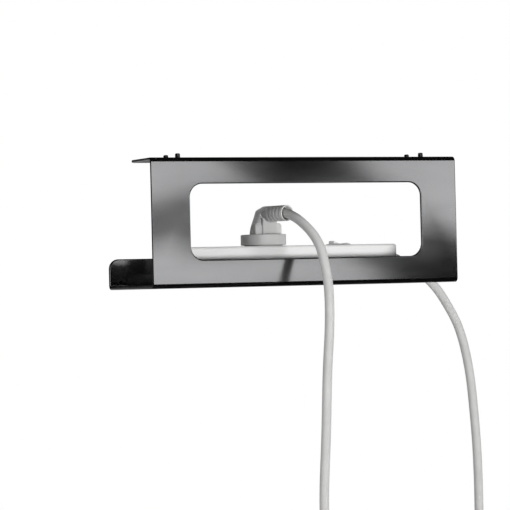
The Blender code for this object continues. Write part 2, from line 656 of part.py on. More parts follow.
def natural_spline(points, step):
    """Points at an even step along the natural cubic, on chord length, through the given points."""
    points = np.array(points, float)
    knots = np.r_[0, np.cumsum(np.linalg.norm(np.diff(points, axis=0), axis=1))]
    gaps = np.diff(knots)
    count = len(points)
    system = np.eye(count)
    right = np.zeros((count, 3))
    for i in range(1, count - 1):
        system[i, i - 1:i + 2] = gaps[i - 1], 2 * (gaps[i - 1] + gaps[i]), gaps[i]
        right[i] = 6 * ((points[i + 1] - points[i]) / gaps[i] - (points[i] - points[i - 1]) / gaps[i - 1])
    bend = np.linalg.solve(system, right)
    samples = []
    for t in np.linspace(0, knots[-1], 40 * count):
        i = min(int(np.searchsorted(knots, t, "right")) - 1, count - 2)
        a, b = (knots[i + 1] - t) / gaps[i], (t - knots[i]) / gaps[i]
        curve = ((a**3 - a) * bend[i] + (b**3 - b) * bend[i + 1]) * gaps[i] ** 2 / 6
        samples.append(a * points[i] + b * points[i + 1] + curve)
    samples = np.array(samples)
    along = np.r_[0, np.cumsum(np.linalg.norm(np.diff(samples, axis=0), axis=1))]
    marks = np.linspace(0, along[-1], max(3, round(along[-1] / step) + 1))
    return [Vector([np.interp(mark, along, samples[:, axis]) for axis in range(3)]) for mark in marks]


def add_tube(name, route, diameter, step, material, parent):
    curve = bpy.data.curves.new(name, "CURVE")
    curve.dimensions = "3D"
    curve.bevel_depth = diameter / 2
    curve.bevel_resolution = 2
    curve.use_fill_caps = True
    spline = curve.splines.new("POLY")
    points = natural_spline(route, step)
    spline.points.add(len(points) - 1)
    for point, place in zip(spline.points, points):
        point.co = (*place, 1)
    return add_object(name, curve, material, parent)


def coil_matrix(center, across, axial):
    """Coil space has X across the coil, Y up it and Z along its axis."""
    return Matrix.Translation(center) @ Matrix((across, (0, 0, 1), axial)).transposed().to_4x4()


def coil_section(turns, radius, margin=0.0):
    """Outline (radius, axial place) round a coil of an inner and an outer layer of turns."""
    half = turns[0] / 2 * CORD
    outer = radius + CORD
    centers = [(radius, -half), (radius, half), (outer, half), (outer, half - turns[1] * CORD)]
    rim = CORD / 2 + margin
    bow = [(rim * cos(pi / 4 * i + 0.4), rim * sin(pi / 4 * i + 0.4)) for i in range(8)]
    points = [(r + a, z + b) for r, z in centers for a, b in bow]
    return [points[i] for i in convex_hull_2d([Vector(p) for p in points])]


def make_coil(name, turns, radius, matrix, material, parent):
    bm = bmesh.new()
    add_turned(bm, coil_section(turns, radius), 32)
    finish_mesh(name, bm, material, parent, matrix)


def make_tie(name, turns, radius, matrix, material, parent):
    """A fabric tie closed round all the turns: a band between two outlines of the coil's section."""
    bm = bmesh.new()
    inside = coil_section(turns, radius, 0.4 * MM)
    middle = sum((Vector(p) for p in inside), Vector((0, 0))) / len(inside)
    outside = []
    for p in inside:
        spoke = Vector(p) - middle
        outside.append(middle + spoke * (1 + 1.6 * MM / spoke.length))
    rings = []
    for step in range(5):
        turn = Matrix.Rotation(TIE_ANGLE - TIE_HALF_WIDTH + TIE_HALF_WIDTH * step / 2, 4, "Z")
        ring = []
        for outline in (inside, outside):
            ring.append([bm.verts.new(turn @ Vector((p[0], 0, p[1]))) for p in outline])
        rings.append(ring)
    count = len(inside)
    for first, second in zip(rings, rings[1:]):
        for i in range(count):
            j = (i + 1) % count
            bm.faces.new((first[0][i], first[0][j], second[0][j], second[0][i]))
            bm.faces.new((first[1][j], first[1][i], second[1][i], second[1][j]))
    for inner, outer in (rings[0], rings[-1]):
        for i in range(count):
            j = (i + 1) % count
            bm.faces.new((inner[i], inner[j], outer[j], outer[i]))
    finish_mesh(name, bm, material, parent, matrix)


def tail_route(turns, radius, matrix):
    """The last stretch: it leaves the outer layer where that heads straight down."""
    axial = turns[0] / 2 * CORD - turns[1] * CORD
    aside = radius + CORD + 0.6 * MM
    points = [Vector((aside, -drop, axial)) for drop in np.linspace(TAIL_START, TAIL_END, 4)]
    return [matrix @ p for p in points]


def sleeve_profile(top, low):
    """A tapered sleeve whose open upper end is round the cord."""
    bore = CORD / 2 + GAP
    return [
        (0, low), (6.6 * MM, low), (6 * MM, top - 6 * MM), (5.3 * MM, top + 5 * MM), (bore, top + 5 * MM),
        (bore, top - GAP), (0, top - GAP),
    ]


def make_connector(name, end, material, relief_material, parent):
    """An appliance connector that hangs straight down: a sleeve, and a grip body with three slots."""
    top = end.z
    place = Matrix.Translation((end.x, end.y, 0))
    sleeve_low = top - 22 * MM
    turned(f"{name}_relief", sleeve_profile(top, sleeve_low), relief_material, parent, 16, place)
    levels = ((8.2, 7.4, 0), (12.4, 8.6, 5), (13.2, 9, 12), (12, 8.4, 20), (13.6, 9.2, 28), (13.6, 9.2, 38))
    bm = bmesh.new()
    rings = []
    for half_x, half_y, drop in levels:
        outline = rounded_rectangle(half_x * MM, half_y * MM, 5 * MM, 3, (end.x, end.y))
        rings.append([bm.verts.new((x, y, sleeve_low - GAP - drop * MM)) for x, y in outline])
    bridge(bm, rings)
    body = finish_mesh(f"{name}_body", bm, material, parent)
    face = sleeve_low - GAP - levels[-1][2] * MM
    bm = bmesh.new()
    for slot_x, slot_y in ((-7, 2), (0, -2.5), (7, 2)):
        x, y = end.x + slot_x * MM, end.y + slot_y * MM
        low = (x - 1.5 * MM, y - 2.5 * MM, face - 1 * MM)
        add_box(bm, low, (x + 1.5 * MM, y + 2.5 * MM, face + 14 * MM))
    cut(body, bm, f"{name}_slots")


def make_supply_plug(end, plastic, nickel, relief_material, parent):
    """A straight round plug that hangs pins down."""
    top = end.z
    sleeve_low = top - 22 * MM
    place = Matrix.Translation((end.x, end.y, 0))
    turned("supply_plug_relief", sleeve_profile(top, sleeve_low), relief_material, parent, 16, place)
    shoulder = sleeve_low - GAP
    face = shoulder - 36 * MM
    profile = [
        (0, face), (17.4 * MM, face), (17.8 * MM, face + 1 * MM), (17.8 * MM, face + 11 * MM),
        (19.4 * MM, face + 11.6 * MM), (19.4 * MM, face + 15 * MM), (15 * MM, face + 18 * MM),
        (13 * MM, face + 24 * MM), (14 * MM, face + 31 * MM), (11 * MM, shoulder - 0.8 * MM),
        (8 * MM, shoulder), (0, shoulder),
    ]
    body = turned("supply_plug_body", profile, plastic, parent, 24, place)
    bm = bmesh.new()
    for side in (-1, 1):
        x = end.x + side * PIN_SPREAD
        add_cylinder(bm, (x, end.y, face - 1 * MM), (x, end.y, face + 6 * MM), PIN_RADIUS + GAP, 12)
    cut(body, bm, "supply_plug_bores")
    for name, side in (("supply_plug_pin_live", -1), ("supply_plug_pin_neutral", 1)):
        make_pin(name, (end.x + side * PIN_SPREAD, end.y), face, nickel, parent)


def make_pin(name, place, face, nickel, parent):
    low = face - PIN_LENGTH
    top = face + 6 * MM - GAP
    profile = [(0, low), (1.2 * MM, low), (PIN_RADIUS, low + 1.6 * MM), (PIN_RADIUS, top), (0, top)]
    turned(name, profile, nickel, parent, 12, Matrix.Translation((*place, 0)))


# Angled plug


def make_plug(plastic, relief_material, nickel, brass, parent):
    """A round nose and flange, a grip body and a neck that turns the cord away sideways."""
    place = Matrix.Translation((PLUGGED_X, STRIP_Y, 0))
    turn = Matrix.Rotation(NECK_ANGLE, 4, "Z")
    profile = [
        (0, PLUG_FACE), (PLUG_NOSE_RADIUS - 0.6 * MM, PLUG_FACE), (PLUG_NOSE_RADIUS, PLUG_FACE + 0.6 * MM),
        (PLUG_NOSE_RADIUS, FLANGE_BOTTOM), (PLUG_FLANGE_RADIUS - 0.5 * MM, FLANGE_BOTTOM),
        (PLUG_FLANGE_RADIUS, FLANGE_BOTTOM + 0.5 * MM), (PLUG_FLANGE_RADIUS, FLANGE_TOP - 1 * MM),
        (PLUG_FLANGE_RADIUS - 1 * MM, FLANGE_TOP), (0, FLANGE_TOP),
    ]
    plug = turned("plug_body", profile, plastic, parent, 32, place)
    body = place @ turn
    bm = bmesh.new()
    rings = []
    levels = (
        (6.2, 14.2, 1.5, -69), (6.2, 13.2, 1.5, -62), (6.2, 10.7, 1.5, -56.5), (6.2, 8.4, 1.5, -51.1),
        (6.2, 6.6, 1.5, -46.2), (4.2, 4.8, 3.5, -44.2), (2.4, 3, 5.3, -42.5),
    )
    for half_long, half_wide, shift, height in levels:
        corner = min(3, 0.7 * half_long, 0.7 * half_wide)
        outline = rounded_rectangle(half_long, half_wide, corner, 3, (shift, 0))
        rings.append([bm.verts.new(body @ Vector((x * MM, y * MM, height * MM))) for x, y in outline])
    bridge(bm, rings)
    cut(plug, bm, "plug_grip", "UNION")
    bm = bmesh.new()
    column = rounded_rectangle(5.35, 8.2, 1.2, 2, (5.35, 0))
    add_prism(bm, [body @ Vector((x * MM, y * MM, -69 * MM)) for x, y in column], (0, 0, 12 * MM))
    cut(plug, bm, "plug_column", "UNION")
    for side in (-1, 1):
        pad = [(7, -69), (15.4, -69), *arc((12.4, -60.9), 3, 0, 90, 4), (7, -57.9)]
        bm = bmesh.new()
        points = [body @ Vector((1.5 * MM, side * y * MM, z * MM)) for y, z in pad]
        add_prism(bm, points, NECK * 7.2 * MM)
        cut(plug, bm, "plug_pad", "UNION")
    center = Vector((PLUGGED_X, STRIP_Y, NECK_Z))
    bm = bmesh.new()
    add_cylinder(bm, center + NECK * 3 * MM, center + NECK * (RELIEF_START - GAP), NECK_RADIUS, 20)
    cut(plug, bm, "plug_neck", "UNION")
    bm = bmesh.new()
    pins = turned_points(PLUGGED_X, [(-PIN_SPREAD, 0), (PIN_SPREAD, 0)])
    for x, y in pins:
        add_cylinder(bm, (x, y, PLUG_FACE - 1 * MM), (x, y, PLUG_FACE + 6 * MM), PIN_RADIUS + GAP, 12)
    deep = 15.8 * MM
    wide = CLIP_WIDTH / 2 + 0.6 * MM
    for side in (-1, 1):
        near = side * deep
        far = side * 19 * MM
        slot = turned_points(PLUGGED_X, [(-wide, near), (wide, near), (wide, far), (-wide, far)])
        add_prism(bm, [(x, y, PLUG_FACE - 1 * MM) for x, y in slot], (0, 0, 9 * MM))
    shaft = (center + NECK * (RELIEF_START + 1 * MM), center + NECK * (RELIEF_START + 40 * MM))
    add_cylinder(bm, shaft[0] - NECK * (1 * MM + GAP), shaft[1], NECK_RADIUS + 1 * MM, 20)
    cut(plug, bm, "plug_recesses")
    for name, (x, y) in zip(("plug_pin_neutral", "plug_pin_live"), pins):
        make_pin(name, (x, y), PLUG_FACE, nickel, parent)
    for name, side in (("plug_earth_contact_front", -1), ("plug_earth_contact_rear", 1)):
        near = side * (deep + GAP)
        far = side * (deep + GAP + CLIP_SHEET)
        half = CLIP_WIDTH / 2
        strip = turned_points(PLUGGED_X, [(-half, near), (half, near), (half, far), (-half, far)])
        bm = bmesh.new()
        add_prism(bm, [(x, y, PLUG_FACE + 0.4 * MM) for x, y in strip], (0, 0, 7 * MM))
        finish_mesh(name, bm, brass, parent)
    make_neck_relief(relief_material, parent)


def make_neck_relief(material, parent):
    """The ribbed sleeve that carries the neck on, with an open collar that the cord leaves through."""
    depth = NECK_LENGTH - RELIEF_START
    deep = NECK_RADIUS - 1.4 * MM
    bore = CORD / 2 + 0.75 * MM
    profile = [(0, 0), (NECK_RADIUS, 0)]
    for i in range(4):
        start = (5.4 + 4.83 * i) * MM
        end = start + 1.6 * MM
        profile += [(NECK_RADIUS, start), (deep, start + 0.3 * MM)]
        profile += [(deep, end - 0.3 * MM), (NECK_RADIUS, end)]
    profile += [(NECK_RADIUS, depth - 0.4 * MM), (NECK_RADIUS - 0.4 * MM, depth), (6.1 * MM, depth)]
    profile += [(bore, depth - 3.5 * MM), (bore, depth - 9 * MM), (0, depth - 9 * MM)]
    start = Vector((PLUGGED_X, STRIP_Y, NECK_Z)) + NECK * RELIEF_START
    turned("plug_neck_relief", profile, material, parent, 20, aimed(start, NECK))


def main():
    clear_scene()
    lacquer = make_material("dark lacquered steel", (0.09, 0.09, 0.095), 0.32, 0.85)
    screw_steel = make_material("black screw steel", (0.05, 0.05, 0.052), 0.35, 0.9)
    zinc = make_material("zinc steel", (0.62, 0.62, 0.64), 0.3, 1.0)
    white = make_material("white plastic", (0.82, 0.82, 0.81), 0.38)
    light = make_material("light grey plastic", (0.68, 0.68, 0.67), 0.4)
    sheath = make_material("light grey PVC", (0.62, 0.62, 0.61), 0.48)
    rubber = make_material("grey rubber", (0.2, 0.2, 0.2), 0.8)
    brass = make_material("brass", (0.78, 0.6, 0.3), 0.28, 1.0)
    nickel = make_material("nickel", (0.72, 0.7, 0.66), 0.22, 1.0)
    fabric = make_material("black fabric tie", (0.03, 0.03, 0.032), 0.9)
    core_colors = {
        "core_live": make_material("brown core", (0.16, 0.06, 0.025), 0.5),
        "core_neutral": make_material("blue core", (0.02, 0.11, 0.42), 0.5),
        "core_earth": make_material("green core", (0.12, 0.38, 0.05), 0.5),
    }
    core_colors["switch_link"] = core_colors["core_live"]

    tray = make_empty("tray", (0, 0, 0))
    strip = make_empty("socket_strip", (0, STRIP_Y, STRIP_TOP))
    rocker_axis = make_empty("rocker_axis", (SWITCH_X, STRIP_Y, ROCKER_AXIS_Z))
    plug_axis = make_empty("plug_axis", (PLUGGED_X, STRIP_Y, STRIP_TOP))

    make_tray(lacquer, tray)
    make_mounting_screws(screw_steel, tray)
    make_upper_shell(white, strip)
    make_lower_shell(white, strip)
    make_shell_screws_and_feet(zinc, rubber, strip)
    make_sockets(light, brass, strip)
    make_rails(brass, strip)
    make_switch(light, light, strip, rocker_axis)
    make_wiring(core_colors, strip)
    make_gland(light, strip)
    make_cord_clamp(light, zinc, strip)
    make_plug(white, light, nickel, brass, plug_axis)

    appliance = coil_matrix(APPLIANCE_COIL, (1, 0, 0), (0, 1, 0))
    add_tube("appliance_cord", [Vector(p) * MM for p in APPLIANCE_ROUTE], CORD, CORD_STEP, sheath, plug_axis)
    make_coil("appliance_coil", APPLIANCE_TURNS, APPLIANCE_COIL_RADIUS, appliance, sheath, plug_axis)
    make_tie("appliance_tie", APPLIANCE_TURNS, APPLIANCE_COIL_RADIUS, appliance, fabric, plug_axis)
    tail = tail_route(APPLIANCE_TURNS, APPLIANCE_COIL_RADIUS, appliance)
    add_tube("appliance_tail", tail, CORD, CORD_STEP, sheath, plug_axis)
    make_connector("connector", tail[-1], white, light, plug_axis)

    supply = coil_matrix(SUPPLY_COIL, (0, 1, 0), (-1, 0, 0))
    add_tube("supply_cord", [Vector(p) * MM for p in SUPPLY_ROUTE], CORD, CORD_STEP, sheath, strip)
    make_coil("supply_coil", SUPPLY_TURNS, SUPPLY_COIL_RADIUS, supply, sheath, strip)
    make_tie("supply_tie", SUPPLY_TURNS, SUPPLY_COIL_RADIUS, supply, fabric, strip)
    tail = tail_route(SUPPLY_TURNS, SUPPLY_COIL_RADIUS, supply)
    add_tube("supply_tail", tail, CORD, CORD_STEP, sheath, strip)
    make_supply_plug(tail[-1], white, nickel, light, strip)


main()
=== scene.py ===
"""Photoreal scene of the cable tray: a folded steel tray, a socket strip, an angled plug and two cords."""

from math import cos, pi, radians, sin

import bmesh
import bpy
import numpy as np
from mathutils import Matrix, Vector
from mathutils.geometry import convex_hull_2d


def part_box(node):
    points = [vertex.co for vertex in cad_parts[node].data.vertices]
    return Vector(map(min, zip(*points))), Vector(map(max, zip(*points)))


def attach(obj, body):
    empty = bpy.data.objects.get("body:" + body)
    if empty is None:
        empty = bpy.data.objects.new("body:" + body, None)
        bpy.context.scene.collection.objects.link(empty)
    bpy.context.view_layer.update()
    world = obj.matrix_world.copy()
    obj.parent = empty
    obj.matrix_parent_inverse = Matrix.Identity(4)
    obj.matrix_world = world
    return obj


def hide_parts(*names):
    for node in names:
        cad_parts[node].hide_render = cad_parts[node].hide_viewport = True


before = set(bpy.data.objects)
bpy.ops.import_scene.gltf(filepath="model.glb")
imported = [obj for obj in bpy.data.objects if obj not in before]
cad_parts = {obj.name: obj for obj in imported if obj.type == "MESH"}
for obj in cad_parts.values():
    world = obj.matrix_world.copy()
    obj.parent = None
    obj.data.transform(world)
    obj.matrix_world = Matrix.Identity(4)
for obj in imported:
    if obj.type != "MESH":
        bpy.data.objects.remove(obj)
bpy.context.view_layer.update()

MM = 0.001
ROOT = "tray_and_strip"
PLUG = "plug"
ROCKER = "rocker"

# ---------------------------------------------------------------- materials

TONE_BAND = (0.35, 0.65)  # the part of the noise over which the colour drifts
GLOSS_BAND = (0.3, 0.7)  # the part of the noise over which the roughness drifts
GLOSS_SCALE = 2.7  # gloss blotches are this much finer than colour blotches
RIB_SCALE = 420


def material(name, color, roughness, metallic=0.0, tone=0.06, tone_scale=60, rough_span=0.08, grain=0.1,
             grain_scale=1500, grain_depth=0.00005, stretch=(1, 1, 1), sockets=()):
    """A surface whose colour drifts a little, whose gloss varies in blotches, and which has a fine grain."""
    m = bpy.data.materials.new(name)
    m.use_nodes = True
    nodes, links = m.node_tree.nodes, m.node_tree.links
    shader = nodes["Principled BSDF"]
    shader.inputs["Metallic"].default_value = metallic
    for socket, value in sockets:
        shader.inputs[socket].default_value = value
    place = nodes.new("ShaderNodeTexCoord")
    mapping = nodes.new("ShaderNodeMapping")
    mapping.inputs["Scale"].default_value = stretch
    links.new(place.outputs["Object"], mapping.inputs["Vector"])

    def noise(scale, detail):
        node = nodes.new("ShaderNodeTexNoise")
        node.inputs["Scale"].default_value = scale
        node.inputs["Detail"].default_value = detail
        links.new(mapping.outputs["Vector"], node.inputs["Vector"])
        return node.outputs["Fac"]

    ramp = nodes.new("ShaderNodeValToRGB")
    ramp.color_ramp.elements[0].position = TONE_BAND[0]
    ramp.color_ramp.elements[1].position = TONE_BAND[1]
    ramp.color_ramp.elements[0].color = (*[c * (1 - tone) for c in color], 1)
    ramp.color_ramp.elements[1].color = (*[min(1, c * (1 + tone)) for c in color], 1)
    links.new(noise(tone_scale, 4), ramp.inputs["Fac"])
    links.new(ramp.outputs["Color"], shader.inputs["Base Color"])
    gloss = nodes.new("ShaderNodeMapRange")
    gloss.inputs["From Min"].default_value = GLOSS_BAND[0]
    gloss.inputs["From Max"].default_value = GLOSS_BAND[1]
    gloss.inputs["To Min"].default_value = roughness - rough_span / 2
    gloss.inputs["To Max"].default_value = roughness + rough_span / 2
    links.new(noise(tone_scale * GLOSS_SCALE, 6), gloss.inputs["Value"])
    links.new(gloss.outputs["Result"], shader.inputs["Roughness"])
    bump = nodes.new("ShaderNodeBump")
    bump.inputs["Strength"].default_value = grain
    bump.inputs["Distance"].default_value = grain_depth
    links.new(noise(grain_scale, 3), bump.inputs["Height"])
    links.new(bump.outputs["Normal"], shader.inputs["Normal"])
    return m


def weave_material(name, color):
    """Woven tape: fine ribs both ways, with fuzz between them."""
    m = material(name, color, 0.9, tone=0.25, tone_scale=900, grain=0.6, grain_scale=2600, grain_depth=0.0002)
    nodes, links = m.node_tree.nodes, m.node_tree.links
    bump = next(n for n in nodes if n.type == "BUMP")
    place = next(n for n in nodes if n.type == "TEX_COORD")
    height = bump.inputs["Height"].links[0].from_socket
    total = nodes.new("ShaderNodeMath")
    total.operation = "ADD"
    ribs = []
    for direction in ("X", "Z"):
        wave = nodes.new("ShaderNodeTexWave")
        wave.bands_direction = direction
        wave.inputs["Scale"].default_value = RIB_SCALE
        links.new(place.outputs["Object"], wave.inputs["Vector"])
        ribs.append(wave.outputs["Fac"])
    product = nodes.new("ShaderNodeMath")
    product.operation = "MULTIPLY"
    links.new(ribs[0], product.inputs[0])
    links.new(ribs[1], product.inputs[1])
    links.new(product.outputs["Value"], total.inputs[0])
    links.new(height, total.inputs[1])
    links.new(total.outputs["Value"], bump.inputs["Height"])
    return m


LACQUER = material("satin_lacquered_steel", (0.105, 0.105, 0.107), 0.14, 1.0, tone=0.04, tone_scale=30,
                   rough_span=0.03, grain=0.05, grain_scale=900, grain_depth=0.00001, stretch=(0.25, 1, 1))
BLACK_STEEL = material("black_oxide_steel", (0.05, 0.05, 0.052), 0.36, 0.9, tone=0.2, tone_scale=300,
                       grain=0.2)
ZINC = material("bright_zinc", (0.62, 0.62, 0.64), 0.3, 1.0, tone=0.08, tone_scale=400, grain=0.15)
WHITE = material("white_moulding", (0.84, 0.84, 0.835), 0.36, tone=0.012, tone_scale=40, rough_span=0.07,
                 grain=0.1, grain_scale=2600, grain_depth=0.00003)
LIGHT = material("light_grey_moulding", (0.70, 0.70, 0.695), 0.42, tone=0.02, tone_scale=60, rough_span=0.08,
                 grain=0.14, grain_scale=2200, grain_depth=0.00004)
# The plug moulding is the strip's white plastic with its colour darkened as painted shade, standing in for
# the shade the plug sits in inside the tray. The connector and the supply plug share this darkened colour.
PLUG_WHITE_PAINTED_SHADE = material("plug_moulding_painted_shade", (0.60, 0.60, 0.595), 0.33, tone=0.02, tone_scale=70, rough_span=0.08,
                      grain=0.12, grain_scale=2400, grain_depth=0.00003)
SHEATH = material("pvc_sheath", (0.46, 0.46, 0.455), 0.42, tone=0.03, tone_scale=90, rough_span=0.08,
                  grain=0.06,
                  grain_scale=1800, grain_depth=0.00003)
RUBBER = material("grey_rubber", (0.2, 0.2, 0.2), 0.8, tone=0.12, tone_scale=250, grain=0.4, grain_scale=1800)
BRASS = material("rolled_brass", (0.78, 0.6, 0.3), 0.28, 1.0, tone=0.1, tone_scale=120, grain=0.3,
                 grain_scale=700, stretch=(0.1, 1, 1))
NICKEL = material("nickel_plate", (0.72, 0.7, 0.66), 0.2, 1.0, tone=0.06, tone_scale=200, grain=0.1)
BROWN = material("brown_insulation", (0.16, 0.06, 0.025), 0.45, tone=0.1, tone_scale=200)
BLUE = material("blue_insulation", (0.02, 0.11, 0.42), 0.45, tone=0.1, tone_scale=200)
GREEN = material("green_insulation", (0.12, 0.38, 0.05), 0.45, tone=0.1, tone_scale=200)
FABRIC = weave_material("woven_tie", (0.03, 0.03, 0.032))
FLOOR = material("pale_floor", (0.86, 0.86, 0.86), 0.55, tone=0.01, tone_scale=3, rough_span=0.05, grain=0.05,
                 grain_scale=200)

# ---------------------------------------------------------------- mesh helpers

WELD = 1e-7
SMOOTH_ANGLE, LATHE_SMOOTH_ANGLE = 32, 40  # degrees: a sharper edge than this is shaded as an edge
LATHE_CORNER = 0.25 * MM


def finish_mesh(name, bm, mat, matrix=None, smooth=SMOOTH_ANGLE, bevel=0.0):
    """Makes an object of bm, placed by matrix, and frees bm."""
    bmesh.ops.remove_doubles(bm, verts=bm.verts, dist=WELD)
    if matrix is not None:
        bmesh.ops.transform(bm, matrix=matrix, verts=bm.verts)
    bmesh.ops.recalc_face_normals(bm, faces=bm.faces)
    mesh = bpy.data.meshes.new(name)
    bm.to_mesh(mesh)
    bm.free()
    obj = bpy.data.objects.new(name, mesh)
    bpy.context.scene.collection.objects.link(obj)
    if mat:
        mesh.materials.append(mat)
    mesh.shade_smooth()
    mesh.set_sharp_from_angle(angle=radians(smooth))
    if bevel:
        add_bevel(obj, bevel)
    return obj


def add_bevel(obj, width, segments=3, angle=34):
    modifier = obj.modifiers.new("edge_rounding", "BEVEL")
    modifier.width = width
    modifier.segments = segments
    modifier.limit_method = "ANGLE"
    modifier.angle_limit = radians(angle)
    modifier.harden_normals = True


def cut(obj, bm, operation="DIFFERENCE"):
    """Cuts the mesh away from obj, or joins it on, and keeps the result as obj's own mesh."""
    tool = finish_mesh("tool", bm, None)
    modifier = obj.modifiers.new("cut", "BOOLEAN")
    modifier.operation = operation
    modifier.object = tool
    modifier.solver = "EXACT"
    graph = bpy.context.evaluated_depsgraph_get()
    mesh = bpy.data.meshes.new_from_object(obj.evaluated_get(graph))
    obj.modifiers.clear()
    old = obj.data
    obj.data = mesh
    bpy.data.meshes.remove(old)
    mesh.shade_smooth()
    mesh.set_sharp_from_angle(angle=radians(SMOOTH_ANGLE))
    bpy.data.objects.remove(tool)


def add_prism(bm, outline, direction):
    """A closed solid: the outline, moved along the direction."""
    face = bm.faces.new([bm.verts.new(point) for point in outline])
    extruded = bmesh.ops.extrude_face_region(bm, geom=[face])["geom"]
    moved = [item for item in extruded if isinstance(item, bmesh.types.BMVert)]
    bmesh.ops.translate(bm, verts=moved, vec=direction)


def add_cylinder(bm, start, end, radius, segments=32):
    start, end = Vector(start), Vector(end)
    turn = (end - start).to_track_quat("Z", "Y").to_matrix().to_4x4()
    bmesh.ops.create_cone(bm, cap_ends=True, segments=segments, radius1=radius, radius2=radius,
                          depth=(end - start).length, matrix=Matrix.Translation((start + end) / 2) @ turn)


def arc(center, radius, start, end, steps):
    angles = [radians(start + (end - start) * i / steps) for i in range(steps + 1)]
    return [(center[0] + radius * cos(a), center[1] + radius * sin(a)) for a in angles]


def rounded_rectangle(half_a, half_b, radius, steps=8, center=(0, 0)):
    points = []
    for side_a, side_b, start in ((1, 1, 0), (-1, 1, 90), (-1, -1, 180), (1, -1, 270)):
        middle = (center[0] + side_a * (half_a - radius), center[1] + side_b * (half_b - radius))
        points += arc(middle, radius, start, start + 90, steps)
    return points


def bridge(bm, rings):
    """Joins rings that have equally many points, and closes both ends."""
    for lower, upper in zip(rings, rings[1:]):
        for i in range(len(lower)):
            j = (i + 1) % len(lower)
            bm.faces.new((lower[i], lower[j], upper[j], upper[i]))
    bm.faces.new(rings[0][::-1])
    bm.faces.new(rings[-1])


def polar(r, angle, z):
    return (r * cos(angle), r * sin(angle), z)


def filleted(profile, radius, steps=4):
    """The profile, a list of (r, z) or (r, z, corner radius), with its corners rounded."""
    points = []
    count = len(profile)
    for i, corner in enumerate(profile):
        p = Vector(corner[:2])
        size = corner[2] if len(corner) > 2 else radius
        if i in (0, count - 1) or size <= 0:
            points.append(tuple(p))
            continue
        before, after = Vector(profile[i - 1][:2]) - p, Vector(profile[i + 1][:2]) - p
        reach = min(size, before.length * 0.45, after.length * 0.45)
        a, b = p + before.normalized() * reach, p + after.normalized() * reach
        for k in range(steps + 1):
            t = k / steps
            points.append(tuple((1 - t) ** 2 * a + 2 * t * (1 - t) * p + t * t * b))
    return points


def lathe(name, profile, mat, matrix, segments):
    """Turns an open profile that starts and ends on the axis once round Z."""
    bm = bmesh.new()
    rings = []
    for r, z in filleted(profile, LATHE_CORNER):
        if r < WELD:
            rings.append([bm.verts.new((0, 0, z))])
        else:
            rings.append([bm.verts.new(polar(r, 2 * pi * i / segments, z)) for i in range(segments)])
    for first, second in zip(rings, rings[1:]):
        for i in range(segments):
            j = (i + 1) % segments
            corners = [first[i % len(first)], first[j % len(first)],
                       second[j % len(second)], second[i % len(second)]]
            unique = list(dict.fromkeys(corners))
            if len(unique) > 2:
                bm.faces.new(unique)
    return finish_mesh(name, bm, mat, matrix, LATHE_SMOOTH_ANGLE)


def aimed(place, direction):
    """A matrix that moves the origin to place and turns Z to the direction."""
    return Matrix.Translation(place) @ Vector(direction).to_track_quat("Z", "Y").to_matrix().to_4x4()


def keep(obj, body, slot, *nodes):
    """The piece rides the body and replaces the CAD nodes, which are hidden; the slot is not used."""
    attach(obj, body)
    if nodes:
        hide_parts(*nodes)
    return obj


# ---------------------------------------------------------------- tray

TRAY_LENGTH, TRAY_HEIGHT = 300 * MM, 115 * MM
PLATE_Y, FLOOR_END_Y = -25 * MM, 86 * MM
SHEET, BEND = 2.5 * MM, 4 * MM
LIP_HEIGHT, LIP_CORNER, FLANGE_CORNER = 28 * MM, 9 * MM, 5 * MM
WINDOW = (227 * MM, 67 * MM, 12 * MM)
WINDOW_TOP = -23.5 * MM
WINDOW_MIDDLE = (0, WINDOW_TOP - WINDOW[1] / 2)
SCREW_HOLE, EDGE_ROUNDING = 2.8 * MM, 1.1 * MM
SCREWS = [(x * 120 * MM, y * 14 * MM) for x in (-1, 1) for y in (-1, 1)]


def make_tray():
    """The folded sheet, less its window, screw holes and rounded corners."""
    inner = BEND - SHEET
    bends = (((PLATE_Y + BEND, -BEND), 90), ((PLATE_Y + BEND, -TRAY_HEIGHT + BEND), 180),
             ((FLOOR_END_Y - BEND, -TRAY_HEIGHT + BEND), 270))
    outer_side, inner_side = [(-PLATE_Y, 0)], [(-PLATE_Y, -SHEET)]
    for center, start in bends:
        outer_side += arc(center, BEND, start, start + 90, 14)
        inner_side += arc(center, inner, start, start + 90, 14)
    outer_side.append((FLOOR_END_Y, -TRAY_HEIGHT + LIP_HEIGHT))
    inner_side.append((FLOOR_END_Y - SHEET, -TRAY_HEIGHT + LIP_HEIGHT))
    outline = outer_side + inner_side[::-1]
    bm = bmesh.new()
    add_prism(bm, [(-TRAY_LENGTH / 2, y, z) for y, z in outline], (TRAY_LENGTH, 0, 0))
    tray = finish_mesh("tray_sheet", bm, LACQUER)
    bm = bmesh.new()
    hole = rounded_rectangle(WINDOW[0] / 2, WINDOW[1] / 2, WINDOW[2], 14, WINDOW_MIDDLE)
    add_prism(bm, [(x, PLATE_Y - SHEET, z) for x, z in hole], (0, 3 * SHEET, 0))
    for x, y in SCREWS:
        add_cylinder(bm, (x, y, -2 * SHEET), (x, y, SHEET), SCREW_HOLE)
    for side in (-1, 1):
        for corner, radius, place, direction in (
            ((side * TRAY_LENGTH / 2, -TRAY_HEIGHT + LIP_HEIGHT), LIP_CORNER,
             lambda x, b: (x, FLOOR_END_Y + SHEET, b), (0, -3 * SHEET, 0)),
            ((side * TRAY_LENGTH / 2, -PLATE_Y), FLANGE_CORNER, lambda x, b: (x, b, SHEET),
             (0, 0, -3 * SHEET)),
        ):
            center = (corner[0] - side * radius, corner[1] - radius)
            bow = [(center[0] + side * (x - center[0]), b) for x, b in arc(center, radius, 0, 90, 10)]
            over = 1 * MM
            square = [(corner[0] - side * radius, corner[1] + over),
                      (corner[0] + side * over, corner[1] + over),
                      (corner[0] + side * over, corner[1] - radius)]
            add_prism(bm, [place(x, b) for x, b in bow + square], direction)
    cut(tray, bm)
    add_bevel(tray, EDGE_ROUNDING, 4)
    tray.modifiers[-1].use_clamp_overlap = False
    keep(tray, ROOT, "tray_lacquer", "tray_body")


make_tray()


